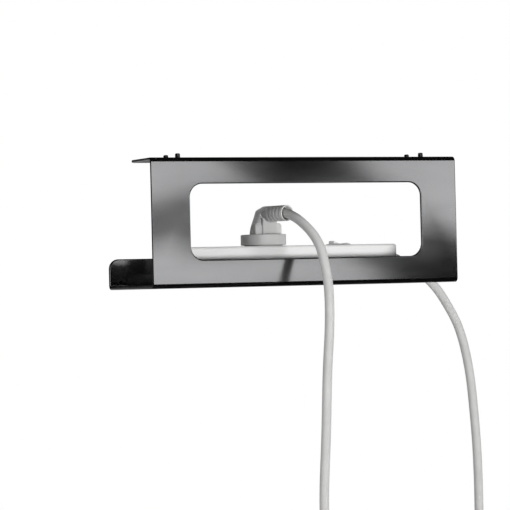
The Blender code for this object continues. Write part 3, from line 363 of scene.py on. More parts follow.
def make_mounting_screws():
    """Pan heads with a round recess, a thread on each shank, and a washer under each head."""
    box_low, box_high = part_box("mounting_screw_1")
    washer_low, washer_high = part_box("mounting_washer_1")
    head_low, tip = box_low.z, box_high.z
    head_top = washer_low.z - 0.3 * MM
    head = (box_high.x - box_low.x) / 2
    washer_radius = (washer_high.x - washer_low.x) / 2
    shank, socket, socket_top = 2.2 * MM, 1.45 * MM, head_low + 1.7 * MM
    for number, (x, y) in enumerate(SCREWS, 1):
        place = Matrix.Translation((x, y, 0))
        profile = [(0, socket_top), (socket, socket_top, 0), (socket, head_low, 0.1 * MM),
                   (head * 0.72, head_low, 1.2 * MM), (head, head_top - 1.1 * MM, 0.8 * MM),
                   (head, head_top, 0.2 * MM), (shank, head_top, 0.2 * MM), (shank, tip - 0.8 * MM, 0.1 * MM),
                   (1.6 * MM, tip, 0.1 * MM), (0, tip)]
        screw = lathe(f"mounting_screw_{number}_body", profile, BLACK_STEEL, place, 48)
        keep(screw, ROOT, "black_steel", f"mounting_screw_{number}")
        thread = make_thread(f"mounting_screw_{number}_thread", head_top + 0.4 * MM, tip - 0.9 * MM,
                             2.08 * MM,
                             2.4 * MM, 0.8 * MM, place)
        keep(thread, ROOT, "black_steel")
        ring = [(SCREW_HOLE, washer_high.z, 0.1 * MM), (SCREW_HOLE, washer_low.z, 0.15 * MM),
                (washer_radius, washer_low.z, 0.2 * MM), (washer_radius, washer_high.z, 0.2 * MM)]
        washer = lathe_ring(f"mounting_washer_{number}_ring", ring, BLACK_STEEL, place, 48)
        keep(washer, ROOT, "black_steel", f"mounting_washer_{number}")


def lathe_ring(name, profile, mat, matrix, segments):
    """Turns a closed profile that stays off the axis once round Z."""
    around = filleted([profile[-1], *profile, profile[0]], 0)[1:-1]
    bm = bmesh.new()
    rings = [[bm.verts.new(polar(r, 2 * pi * i / segments, z)) for r, z in around] for i in range(segments)]
    count = len(around)
    for i in range(segments):
        first, second = rings[i], rings[(i + 1) % segments]
        for k in range(count):
            n = (k + 1) % count
            bm.faces.new((first[k], first[n], second[n], second[k]))
    return finish_mesh(name, bm, mat, matrix, LATHE_SMOOTH_ANGLE)


def make_thread(name, low, high, root, crest, pitch, matrix):
    """One helical ridge that fades out at both ends."""
    steps, embed = 24, 0.15 * MM
    total = int((high - low - pitch) / pitch * steps)
    bm = bmesh.new()
    rows = []
    for k in range(total + 1):
        angle = 2 * pi * k / steps
        z = low + pitch / 2 + pitch * k / steps
        fade = min(1, k / steps, (total - k) / steps)
        rise = root - 0.12 * MM + (crest - root + 0.12 * MM) * fade
        half = pitch * 0.42
        row = []
        for r, dz in ((root - embed, -half), (rise, -half * 0.18), (rise, half * 0.18), (root - embed, half)):
            row.append(bm.verts.new(polar(r, angle, z + dz)))
        rows.append(row)
    for first, second in zip(rows, rows[1:]):
        for k in range(4):
            n = (k + 1) % 4
            bm.faces.new((first[k], first[n], second[n], second[k]))
    bm.faces.new(rows[0][::-1])
    bm.faces.new(rows[-1])
    return finish_mesh(name, bm, BLACK_STEEL, matrix, 60)


make_mounting_screws()

# ---------------------------------------------------------------- socket strip

STRIP = (105 * MM, 25 * MM)
STRIP_Y = 33 * MM
STRIP_TOP, STRIP_SPLIT, STRIP_BOTTOM = -78.5 * MM, -100 * MM, -110.9 * MM
STRIP_CORNER, STRIP_EDGE, WALL = 3 * MM, 2.6 * MM, 2 * MM
PLUGGED_X = -18.6 * MM
SOCKET_X = [PLUGGED_X + i * 43.5 * MM for i in (-1, 0, 1)]
SOCKET_TURN = radians(15)
WELL_RADIUS, WELL_DEPTH, INSERT_RADIUS = 19.3 * MM, 11.1 * MM, 20.2 * MM
PIN_SPREAD, PIN_RADIUS = 9.5 * MM, 2.4 * MM
SWITCH_X = 56.6 * MM
SWITCH_OPENING, BEZEL, KEY_OPENING = (8.3 * MM, 6.3 * MM), (9.3 * MM, 7.3 * MM), (8 * MM, 5.8 * MM)
KEY_HALF_LONG, KEY_WIDTH, KEY_TILT = 7.5 * MM, 10.8 * MM, radians(8)
GLAND_Y, GLAND_Z, GLAND_HOLE = 42 * MM, -99.5 * MM, 5.6 * MM
FOOT_PLACE, FOOT_HOLE = (97 * MM, 17.5 * MM), 3.1 * MM
LEAST_CORNER = 0.6 * MM
GAP = 0.3 * MM


def strip_block(bm, half, corner, levels, steps=10):
    """A rounded block that steps in by an inset at each (inset, height)."""
    rings = []
    for inset, height in levels:
        radius = max(corner - inset, LEAST_CORNER)
        outline = rounded_rectangle(half[0] - inset, half[1] - inset, radius, steps, (0, STRIP_Y))
        rings.append([bm.verts.new((x, y, height)) for x, y in outline])
    bridge(bm, rings)


def turned_point(x, a, b, z):
    """The point a along and b across the turned socket at x."""
    return (x + a * cos(SOCKET_TURN) - b * sin(SOCKET_TURN),
            STRIP_Y + a * sin(SOCKET_TURN) + b * cos(SOCKET_TURN), z)


def add_slot(bm, x, side, near, far, half, z, height):
    """The square hole for an earth contact, on one side of the socket at x."""
    corners = ((-half, side * near), (half, side * near), (half, side * far), (-half, side * far))
    add_prism(bm, [turned_point(x, a, b, z) for a, b in corners], (0, 0, height))


def add_gland_hole(bm):
    add_cylinder(bm, (STRIP[0] - 4 * MM, GLAND_Y, GLAND_Z), (STRIP[0] + 2 * MM, GLAND_Y, GLAND_Z), GLAND_HOLE,
                 48)


def make_strip():
    round_over = [(STRIP_EDGE * (1 - cos(t)), STRIP_TOP - STRIP_EDGE * (1 - sin(t))) for t in
                  (pi / 2 * i / 9 for i in range(10))]
    bm = bmesh.new()
    low_edge = [(0.5 * MM, STRIP_SPLIT), (0.15 * MM, STRIP_SPLIT + 0.15 * MM), (0, STRIP_SPLIT + 0.5 * MM)]
    strip_block(bm, STRIP, STRIP_CORNER, low_edge + round_over)
    shell = finish_mesh("strip_top_moulding", bm, WHITE, smooth=40)
    inner = (STRIP[0] - WALL, STRIP[1] - WALL)
    bm = bmesh.new()
    strip_block(bm, inner, STRIP_CORNER - WALL, [(0, STRIP_SPLIT - 1 * MM), (0, STRIP_TOP - WALL)], steps=6)
    cut(shell, bm)
    bm = bmesh.new()
    for x in SOCKET_X:
        add_cylinder(bm, (x, STRIP_Y, STRIP_TOP - WALL - 1 * MM), (x, STRIP_Y, STRIP_TOP + 1 * MM),
                     INSERT_RADIUS + GAP * 0.7, 96)
    outline = rounded_rectangle(*SWITCH_OPENING, 1 * MM, 4, (SWITCH_X, STRIP_Y))
    add_prism(bm, [(x, y, STRIP_TOP - 4 * MM) for x, y in outline], (0, 0, 6 * MM))
    add_gland_hole(bm)
    cut(shell, bm)
    keep(shell, ROOT, "white_plastic", "strip_upper_shell")
    bm = bmesh.new()
    top = STRIP_SPLIT - GAP
    levels = [(1.2 * MM, STRIP_BOTTOM), (0.35 * MM, STRIP_BOTTOM + 0.35 * MM), (0, STRIP_BOTTOM + 1.2 * MM),
              (0, top - 0.5 * MM), (0.15 * MM, top - 0.15 * MM), (0.5 * MM, top)]
    strip_block(bm, STRIP, STRIP_CORNER, levels)
    lower = finish_mesh("strip_bottom_moulding", bm, WHITE, smooth=40)
    bm = bmesh.new()
    strip_block(bm, inner, STRIP_CORNER - WALL, [(0, STRIP_BOTTOM + WALL), (0, top + 1 * MM)], steps=6)
    cut(lower, bm)
    bm = bmesh.new()
    for side_x in (-1, 1):
        for side_y in (-1, 1):
            x, y = side_x * FOOT_PLACE[0], STRIP_Y + side_y * FOOT_PLACE[1]
            add_cylinder(bm, (x, y, STRIP_BOTTOM - 1 * MM), (x, y, STRIP_BOTTOM + 6 * MM), FOOT_HOLE)
    add_gland_hole(bm)
    cut(lower, bm)
    keep(lower, ROOT, "white_plastic", "strip_lower_shell")


def make_sockets():
    floor = STRIP_TOP - WELL_DEPTH
    low = floor - 2 * MM
    for number, x in enumerate(SOCKET_X, 1):
        profile = [(0, low), (INSERT_RADIUS, low, 0.3 * MM),
                   (INSERT_RADIUS, STRIP_TOP - 0.05 * MM, 0.35 * MM),
                   (WELL_RADIUS, STRIP_TOP - 0.05 * MM, 0.45 * MM), (WELL_RADIUS, floor, 1 * MM), (0, floor)]
        insert = lathe(f"socket_well_{number}", profile, LIGHT, Matrix.Translation((x, STRIP_Y, 0)), 96)
        bm = bmesh.new()
        for side in (-1, 1):
            px, py, _ = turned_point(x, side * PIN_SPREAD, 0, 0)
            add_cylinder(bm, (px, py, low - 1 * MM), (px, py, floor + 1 * MM), PIN_RADIUS + GAP, 32)
            add_slot(bm, x, side, 17.5 * MM, 18.9 * MM, 2.3 * MM, low - 1 * MM, 4 * MM)
        cut(insert, bm)
        keep(insert, ROOT, "light_plastic", f"socket_insert_{number}")


def make_switch():
    top = STRIP_TOP + 1.2 * MM
    bm = bmesh.new()
    rings = []
    for inset, z in ((1.3, STRIP_TOP - 14 * MM), (1.3, STRIP_TOP + GAP), (0, STRIP_TOP + GAP),
                     (0, top - 0.5 * MM),
                     (0.15, top - 0.15 * MM), (0.5, top)):
        half_x, half_y = BEZEL[0] - inset * MM, BEZEL[1] - inset * MM
        outline = rounded_rectangle(half_x, half_y, 1 * MM, 6, (SWITCH_X, STRIP_Y))
        rings.append([bm.verts.new((x, y, z)) for x, y in outline])
    bridge(bm, rings)
    housing = finish_mesh("switch_bezel", bm, LIGHT, smooth=40)
    bm = bmesh.new()
    outline = rounded_rectangle(*KEY_OPENING, LEAST_CORNER, 4, (SWITCH_X, STRIP_Y))
    add_prism(bm, [(x, y, STRIP_TOP - 12 * MM) for x, y in outline], (0, 0, 18 * MM))
    cut(housing, bm)
    keep(housing, ROOT, "light_plastic", "switch_housing")
    end = KEY_HALF_LONG
    crown = [(-end, 4.3), (-end * 0.78, 3.72), (-end * 0.5, 3.05), (-end * 0.25, 2.6), (0, 2.4),
             (end * 0.25, 2.6),
             (end * 0.5, 3.05), (end * 0.78, 3.72), (end, 4.3)]
    outline = [(x, z * MM) for x, z in crown]
    outline += [(end - 0.3 * MM, -0.6 * MM), (3 * MM, -5 * MM), (-3 * MM, -5 * MM),
                (-end + 0.3 * MM, -0.6 * MM)]
    place = Matrix.Translation((SWITCH_X, STRIP_Y, STRIP_TOP - 1.2 * MM)) @ Matrix.Rotation(KEY_TILT, 4, "Y")
    bm = bmesh.new()
    add_prism(bm, [(x, -KEY_WIDTH / 2, z) for x, z in outline], (0, KEY_WIDTH, 0))
    rocker = finish_mesh("rocker_key", bm, WHITE, place, bevel=0.35 * MM)
    keep(rocker, ROCKER, "light_plastic", "switch_rocker")


def make_gland():
    """The ribbed sleeve that holds the supply cord in the strip's end wall."""
    wall_out, wall_in = STRIP[0], STRIP[0] - WALL
    ribs = []
    for i in range(4):
        start, radius = wall_out + (4 + 3.6 * i) * MM, (6.6 - 0.35 * i) * MM
        ribs += [(radius, start, 0.5 * MM), (radius, start + 2.2 * MM, 0.5 * MM),
                 (radius - 0.8 * MM, start + 2.4 * MM, 0.3 * MM),
                 (radius - 0.8 * MM, start + 3.4 * MM, 0.3 * MM)]
    profile = [
        (0, 84 * MM), (4.2 * MM, 84 * MM), (4.2 * MM, wall_in - 3 * MM), (7 * MM, wall_in - 3 * MM),
               (7 * MM, wall_in - GAP),
        (5.2 * MM, wall_in - GAP), (5.2 * MM, wall_out + GAP), (7.2 * MM, wall_out + GAP, 0.6 * MM),
        (7.2 * MM, wall_out + 2.5 * MM, 0.8 * MM), (6.2 * MM, wall_out + 3.2 * MM), *ribs,
               (5.1 * MM, 124 * MM, 0.4 * MM),
        (4.4 * MM, 124 * MM, 0.2 * MM), (4.4 * MM, 117.5 * MM), (0, 117.5 * MM)]
    gland = lathe("cord_gland_sleeve", profile, LIGHT, aimed((0, GLAND_Y, GLAND_Z), (1, 0, 0)), 48)
    keep(gland, ROOT, "light_plastic", "strip_cord_gland")


make_strip()
make_sockets()
make_switch()
make_gland()

# ---------------------------------------------------------------- angled plug

NECK_ANGLE = SOCKET_TURN - pi / 2
NECK = Vector((cos(NECK_ANGLE), sin(NECK_ANGLE), 0))
NECK_Z, NECK_LENGTH, NECK_RADIUS, RELIEF_START = -49.3 * MM, 35.3 * MM, 7.2 * MM, 10 * MM
PLUG_FACE = STRIP_TOP - WELL_DEPTH + GAP
FLANGE_BOTTOM, FLANGE_TOP = -77.4 * MM, -67.7 * MM
NECK_CENTER = Vector((PLUGGED_X, STRIP_Y, NECK_Z))
PIN_LENGTH, PIN_ROOT = 19 * MM, 5.7 * MM


def make_plug():
    """The body with its fan-shaped back, column and two pads, and the grooved sleeve on its neck."""
    place = Matrix.Translation((PLUGGED_X, STRIP_Y, 0))
    turn = Matrix.Rotation(NECK_ANGLE, 4, "Z")
    profile = [(0, PLUG_FACE), (17.4 * MM, PLUG_FACE, 0.6 * MM), (17.4 * MM, FLANGE_BOTTOM, 0.1 * MM),
               (20.7 * MM, FLANGE_BOTTOM, 0.5 * MM), (20.7 * MM, FLANGE_TOP, 1 * MM), (0, FLANGE_TOP)]
    body = lathe("plug_shell", profile, PLUG_WHITE_PAINTED_SHADE, place, 96)
    frame_matrix = place @ turn

    def stack(sections):
        """Joins rounded outlines on, each (half_long, half_wide, corner, shift, height) in millimetres."""
        bm = bmesh.new()
        rings = []
        for half_long, half_wide, corner, center, height in sections:
            outline = rounded_rectangle(half_long, half_wide, corner, 8, center)
            rings.append([bm.verts.new(frame_matrix @ Vector((x * MM, y * MM, height * MM))) for x,
                          y in outline])
        bridge(bm, rings)
        cut(body, bm, "UNION")

    fan = [(14.2, -68.5), (14.1, -66), (13.6, -63.5), (12.7, -60.5), (11.4, -57.5), (10, -54.5), (8.7, -51.5),
           (7.7, -48.8), (6.9, -46.9)]
    sections = [(6.2, half_wide, 4, (1.5, 0), height) for half_wide, height in fan]
    crown = [(6, 6.5, 3.7, 1.7, -46.1), (5.4, 5.9, 3.4, 2.3, -45.3), (4.6, 5.1, 3, 3.1, -44.5),
             (3.7, 4.2, 2.5, 4, -43.7), (2.8, 3.3, 2, 4.9, -43), (2, 2.5, 1.4, 5.7, -42.5)]
    sections += [(half_long, half_wide, corner, (shift, 0), height)
                 for half_long, half_wide, corner, shift, height in crown]
    stack(sections)
    stack([(5.35, 8.2, 1.2, (5.35, 0), height) for height in (-68.5, -53)])
    for side in (-1, 1):
        tops = ((0, -68.5), (0, -60.6), (0.2, -59.4), (0.7, -58.4), (1.5, -57.8), (2.5, -57.6))
        stack([(3.9 - inset, 4.2 - inset, max(0.4, 1.5 - inset), (4.8, side * 11.2), height) for inset,
               height in tops])
    bm = bmesh.new()
    add_cylinder(bm, NECK_CENTER + NECK * 3 * MM, NECK_CENTER + NECK * (RELIEF_START - GAP), NECK_RADIUS, 48)
    cut(body, bm, "UNION")
    bm = bmesh.new()
    for side in (-1, 1):
        px, py, _ = turned_point(PLUGGED_X, side * PIN_SPREAD, 0, 0)
        add_cylinder(bm, (px, py, PLUG_FACE - 1 * MM), (px, py, PLUG_FACE + 6 * MM), PIN_RADIUS + GAP, 32)
        add_slot(bm, PLUGGED_X, side, 15.8 * MM, 19 * MM, 2.6 * MM, PLUG_FACE - 1 * MM, 9 * MM)
    add_cylinder(bm, NECK_CENTER + NECK * (RELIEF_START - GAP), NECK_CENTER + NECK * (RELIEF_START + 40 * MM),
                 NECK_RADIUS + 1 * MM, 48)
    cut(body, bm)
    keep(body, PLUG, "white_plastic", "plug_body")
    bore, depth, deep = 5 * MM, NECK_LENGTH - RELIEF_START, NECK_RADIUS - 1.7 * MM
    profile = [(0, 0), (NECK_RADIUS, 0)]
    for i in range(4):
        start = (5.4 + 4.83 * i) * MM
        profile += [(NECK_RADIUS, start, 0.3 * MM), (deep, start + 0.1 * MM, 0.2 * MM),
                    (deep, start + 1.5 * MM, 0.2 * MM), (NECK_RADIUS, start + 1.6 * MM, 0.3 * MM)]
    profile += [(NECK_RADIUS, depth, 0.5 * MM), (6.2 * MM, depth, 0.3 * MM), (bore, depth - 4 * MM, 1.5 * MM),
                (bore, depth - 9 * MM), (0, depth - 9 * MM)]
    sleeve = lathe("plug_neck_sleeve", profile, PLUG_WHITE_PAINTED_SHADE, aimed(NECK_CENTER + NECK * RELIEF_START, NECK),
                   64)
    keep(sleeve, PLUG, "light_plastic", "plug_neck_relief")


make_plug()


def make_pin(name, x, y, face, body, node):
    low = face - PIN_LENGTH
    profile = [(0, low), (PIN_RADIUS, low, 1.8 * MM), (PIN_RADIUS, face + PIN_ROOT), (0, face + PIN_ROOT)]
    pin = lathe(name, profile, NICKEL, Matrix.Translation((x, y, 0)), 32)
    keep(pin, body, "nickel", node)


for label, side in (("neutral", -1), ("live", 1)):
    pin_x, pin_y, _ = turned_point(PLUGGED_X, side * PIN_SPREAD, 0, 0)
    make_pin(f"plug_{label}_pin", pin_x, pin_y, PLUG_FACE, PLUG, f"plug_pin_{label}")

# ---------------------------------------------------------------- cords

CORD = 8.5 * MM
APPLIANCE_TURNS, APPLIANCE_RADIUS = (3, 2), 40 * MM
SUPPLY_TURNS, SUPPLY_RADIUS = (2, 1), 46 * MM
ENTRY, TIE_ANGLE, TIE_HALF = radians(35), radians(110), radians(10)
TAIL_END, LAYER_GAP = 64 * MM, 0.6 * MM
COIL_STEP, STEP_OUT = radians(4), radians(60)
CURVE_STEP = 2.2 * MM
APPLIANCE_ROUTE = [
    (-11.3, 5.7, -49.3), (-9.5, -1.1, -50.1), (-8.1, -6.6, -51.6), (-6.2, -13.8, -54.6), (-4.2, -24, -60),
    (-3, -34, -65.8), (-2.5, -42.5, -71.4), (-2.4, -50, -77.4), (-2.5, -56.5, -84), (-2.8, -61, -90.8),
    (-3.2, -66.6, -101), (-3.8, -71.8, -113.4), (-5, -76, -129), (-6.2, -78, -146), (-7.7, -79, -163.4),
    (-9.2, -79, -181), (-10.8, -78, -215.8), (-12.3, -77, -253.3), (-14, -76, -285.6), (-14.6, -75.4, -312),
    (-13.6, -75, -328), (-9.4, -75, -345), (-1.6, -75, -362),
]
SUPPLY_ROUTE = [
    (118, 42, -99.5), (125, 42, -99.5), (134, 43, -100.8), (142, 45, -102.9), (150.6, 47.4, -107.1),
    (159.3, 49.2, -113.7), (167, 50.1, -121.4), (174.8, 51, -131.5), (181.2, 51.6, -141.3), (186.8, 52, -151),
    (194, 52.1, -170.2), (198.3, 51.8, -189.4), (200.9, 51, -208.5), (202.2, 50, -227.5),
                (203.2, 48.9, -248.4),
    (203.8, 47.8, -268.3), (204, 46.6, -303.3), (203.8, 46.4, -331.7), (203.8, 47.8, -348),
                (203.8, 52.4, -366),
    (203.8, 57.2, -377.5),
]
APPLIANCE_LINK = [(7.5, -75, -377)]
SUPPLY_LINK = [(203.8, 69, -392)]
APPLIANCE_CENTER = Vector((-16, -62.25, -414)) * MM
SUPPLY_CENTER = Vector((195.3, 46, -436)) * MM


def natural_spline(points, step):
    """Points at an even step along the natural cubic through the given points."""
    points = np.array(points, float)
    knots = np.r_[0, np.cumsum(np.linalg.norm(np.diff(points, axis=0), axis=1))]
    gaps = np.diff(knots)
    count = len(points)
    system, right = np.eye(count), np.zeros((count, 3))
    for i in range(1, count - 1):
        system[i, i - 1:i + 2] = gaps[i - 1], 2 * (gaps[i - 1] + gaps[i]), gaps[i]
        right[i] = 6 * ((points[i + 1] - points[i]) / gaps[i] - (points[i] - points[i - 1]) / gaps[i - 1])
    bend = np.linalg.solve(system, right)
    samples = []
    for t in np.linspace(0, knots[-1], 60 * count):
        i = min(int(np.searchsorted(knots, t, "right")) - 1, count - 2)
        a, b = (knots[i + 1] - t) / gaps[i], (t - knots[i]) / gaps[i]
        curve = ((a**3 - a) * bend[i] + (b**3 - b) * bend[i + 1]) * gaps[i] ** 2 / 6
        samples.append(a * points[i] + b * points[i + 1] + curve)
    return resample(samples, step)


def resample(samples, step):
    """The same line with its points at an even step."""
    samples = np.array(samples, float)
    along = np.r_[0, np.cumsum(np.linalg.norm(np.diff(samples, axis=0), axis=1))]
    marks = np.linspace(0, along[-1], max(3, round(along[-1] / step) + 1))
    return np.array([[np.interp(mark, along, samples[:, axis]) for axis in range(3)] for mark in marks])


def coil_matrix(center, across, axial):
    """Turns a coil wound round Z so that its axis is axial, with Y pointing up."""
    return Matrix.Translation(center) @ Matrix((across, (0, 0, 1), axial)).transposed().to_4x4()


def coil_line(turns, radius, matrix):
    """The wound centreline: an inner layer, a step out, an outer layer back, and a straight tail."""
    half = turns[0] / 2 * CORD
    points = []
    inner = 2 * pi * turns[0]
    outer = 2 * pi * turns[1] + ENTRY - STEP_OUT
    total = inner + STEP_OUT + outer
    for k in range(int(total / COIL_STEP) + 1):
        a = min(k * COIL_STEP, total)
        if a <= inner:
            r, z = radius, -half + CORD * a / (2 * pi)
        else:
            t = min(1, (a - inner) / STEP_OUT)
            ease = t * t * (3 - 2 * t)
            r = radius + (CORD + LAYER_GAP * min(1, (a - inner) / total)) * ease
            back = (a - inner) / (2 * pi * turns[1] + ENTRY)
            z = half - turns[1] * CORD * back
        angle = ENTRY - a
        points.append(matrix @ Vector(polar(r, angle, z)))
    axial = half - turns[1] * CORD
    aside = radius + CORD + LAYER_GAP
    for drop in np.linspace(6 * MM, TAIL_END, 14):
        points.append(matrix @ Vector((aside, -drop, axial)))
    return points


def cord_curve(name, route, link, turns, radius, matrix, body, nodes):
    """One cord from its exit, along the route and the link, into its coil, and its length."""
    coil = coil_line(turns, radius, matrix)
    lead = [tuple(np.array(p) * MM) for p in route + link] + [tuple(p) for p in coil[:6]]
    line = list(natural_spline(lead, CURVE_STEP)) + [np.array(p) for p in coil[6:]]
    line = resample(line, CURVE_STEP)
    curve = bpy.data.curves.new(name, "CURVE")
    curve.dimensions = "3D"
    curve.bevel_depth = CORD / 2
    curve.bevel_resolution = 6
    curve.use_fill_caps = True
    spline = curve.splines.new("POLY")
    spline.points.add(len(line) - 1)
    for point, place in zip(spline.points, line):
        point.co = (*place, 1)
    spline.use_smooth = True
    curve.materials.append(SHEATH)
    obj = bpy.data.objects.new(name, curve)
    bpy.context.scene.collection.objects.link(obj)
    keep(obj, body, "cord_sheath", *nodes)
    return obj, float(np.linalg.norm(np.diff(line, axis=0), axis=1).sum())


APPLIANCE = coil_matrix(APPLIANCE_CENTER, (1, 0, 0), (0, 1, 0))
SUPPLY = coil_matrix(SUPPLY_CENTER, (0, 1, 0), (-1, 0, 0))
appliance_line, appliance_length = cord_curve(
    "appliance_cord_line", APPLIANCE_ROUTE, APPLIANCE_LINK, APPLIANCE_TURNS, APPLIANCE_RADIUS, APPLIANCE,
                                              PLUG,
    ("appliance_cord", "appliance_coil", "appliance_tail"))
supply_line, supply_length = cord_curve(
    "supply_cord_line", SUPPLY_ROUTE, SUPPLY_LINK, SUPPLY_TURNS, SUPPLY_RADIUS, SUPPLY, ROOT,
    ("supply_cord", "supply_coil", "supply_tail"))

# ---------------------------------------------------------------- ties, connector and supply plug

TIE_CLEARANCE, TAPE, RIPPLE = 0.45 * MM, 1.05 * MM, 0.12 * MM
SLEEVE_LENGTH, CONNECTOR_LENGTH, SUPPLY_PLUG_LENGTH = 22 * MM, 38 * MM, 36 * MM


def coil_outline(turns, radius, margin, steps=24):
    """Outline (radius, axial place) round the two layers, a margin outside them."""
    half = turns[0] / 2 * CORD
    centers = [(radius, -half), (radius, half), (radius + CORD, half),
               (radius + CORD, half - turns[1] * CORD)]
    rim = CORD / 2 + margin
    points = [Vector((r + rim * cos(2 * pi * i / steps), a + rim * sin(2 * pi * i / steps)))
              for r, a in centers for i in range(steps)]
    return [points[i] for i in convex_hull_2d(points)]


def make_tie(name, turns, radius, matrix, body, node):
    """A rippled band of tape closed round the turns."""
    inside = coil_outline(turns, radius, TIE_CLEARANCE)
    middle = sum(inside, Vector((0, 0))) / len(inside)
    bm = bmesh.new()
    rings = []
    columns = 9
    for step in range(columns):
        share = step / (columns - 1)
        angle = TIE_ANGLE - TIE_HALF * 0.98 + TIE_HALF * 1.96 * share
        turn = Matrix.Rotation(angle, 4, "Z")
        edge = 1 - abs(2 * share - 1) ** 6 * 0.35
        ring = []
        for p in inside:
            ring.append(turn @ Vector((p[0], 0, p[1])))
        for p in reversed(inside):
            out = (p - middle).normalized()
            ripple = RIPPLE * sin(40 * out.x + 9 * out.y)
            q = p + out * (TAPE * edge + ripple)
            ring.append(turn @ Vector((q[0], 0, q[1])))
        rings.append(ring)
    count = len(inside)
    verts = [[bm.verts.new(p) for p in ring] for ring in rings]
    for first, second in zip(verts, verts[1:]):
        for i in range(count):
            j = (i + 1) % count
            a, b = 2 * count - 1 - i, 2 * count - 1 - j
            bm.faces.new((first[i], first[j], second[j], second[i]))
            bm.faces.new((first[b], first[a], second[a], second[b]))
    for ring in (verts[0], verts[-1]):
        for i in range(count):
            j = (i + 1) % count
            bm.faces.new((ring[i], ring[j], ring[2 * count - 1 - j], ring[2 * count - 1 - i]))
    tie = finish_mesh(name, bm, FABRIC, matrix, 50)
    keep(tie, body, "tie_fabric", node)
    return tie


appliance_tie = make_tie("appliance_coil_tie", APPLIANCE_TURNS, APPLIANCE_RADIUS, APPLIANCE, PLUG,
                         "appliance_tie")
supply_tie = make_tie("supply_coil_tie", SUPPLY_TURNS, SUPPLY_RADIUS, SUPPLY, ROOT, "supply_tie")


def tail_end(turns, radius, matrix):
    return matrix @ Vector((radius + CORD + LAYER_GAP, -TAIL_END, turns[0] / 2 * CORD - turns[1] * CORD))


def make_sleeve(name, end, body, node):
    """A tapered sleeve with three rings cut into it."""
    top, low = end.z, end.z - SLEEVE_LENGTH
    profile = [(0, low), (6.6 * MM, low, 0.5 * MM)]
    for i in range(3):
        z = low + (6 + 4 * i) * MM
        r = (6.45 - 0.15 * i) * MM
        profile += [(r, z, 0.3 * MM), (r - 0.8 * MM, z + 0.3 * MM, 0.3 * MM),
                    (r - 0.8 * MM, z + 1.5 * MM, 0.3 * MM),
                    (r - 0.05 * MM, z + 1.8 * MM, 0.3 * MM)]
    profile += [(5.3 * MM, top + 5 * MM, 0.5 * MM), (4.4 * MM, top + 5 * MM, 0.2 * MM),
                (4.4 * MM, top - 0.3 * MM),
                (0, top - 0.3 * MM)]
    sleeve = lathe(name, profile, LIGHT, Matrix.Translation((end.x, end.y, 0)), 48)
    return keep(sleeve, body, "light_plastic", node)


def make_connector(end):
    """The waisted three-slot connector with grip grooves, below the tail's end."""
    sleeve = make_sleeve("connector_sleeve", end, PLUG, "connector_relief")
    shoulder = end.z - SLEEVE_LENGTH - GAP
    levels = [(7.4, 6.6, 0), (8, 7.2, 0.25), (8.6, 7.5, 0.8), (11.4, 8.35, 3.6), (12.4, 8.6, 5),
              (13, 8.9, 8.5), (13.2, 9, 12),
              (12.6, 8.7, 16), (12, 8.4, 20), (12.5, 8.65, 23), (13.3, 9.05, 26), (13.6, 9.2, 28),
              (13.6, 9.2, 37.2),
              (13.45, 9.05, 37.75), (13, 8.6, 38)]
    bm = bmesh.new()
    rings = []
    for half_x, half_y, drop in levels:
        outline = rounded_rectangle(half_x * MM, half_y * MM, 5 * MM, 8, (end.x, end.y))
        rings.append([bm.verts.new((x, y, shoulder - drop * MM)) for x, y in outline])
    bridge(bm, rings)
    body = finish_mesh("connector_shell", bm, PLUG_WHITE_PAINTED_SHADE, smooth=40)
    face = shoulder - CONNECTOR_LENGTH
    bm = bmesh.new()
    for slot_x, slot_y in ((-7, 2), (0, -2.5), (7, 2)):
        outline = rounded_rectangle(1.5 * MM, 2.5 * MM, 0.3 * MM, 3,
                                    (end.x + slot_x * MM, end.y + slot_y * MM))
        add_prism(bm, [(x, y, face - 1 * MM) for x, y in outline], (0, 0, 15 * MM))
    for side in (-1, 1):
        for i in range(5):
            z = shoulder - (14 + 2.4 * i) * MM
            low, high = (end.x - 7 * MM, end.y + side * 8.1 * MM, z), (end.x + 7 * MM,
                                                                       end.y + side * 8.1 * MM, z)
            add_cylinder(bm, low, high, 0.55 * MM, 12)
    cut(body, bm)
    keep(body, PLUG, "white_plastic", "connector_body")
    return [sleeve, body]


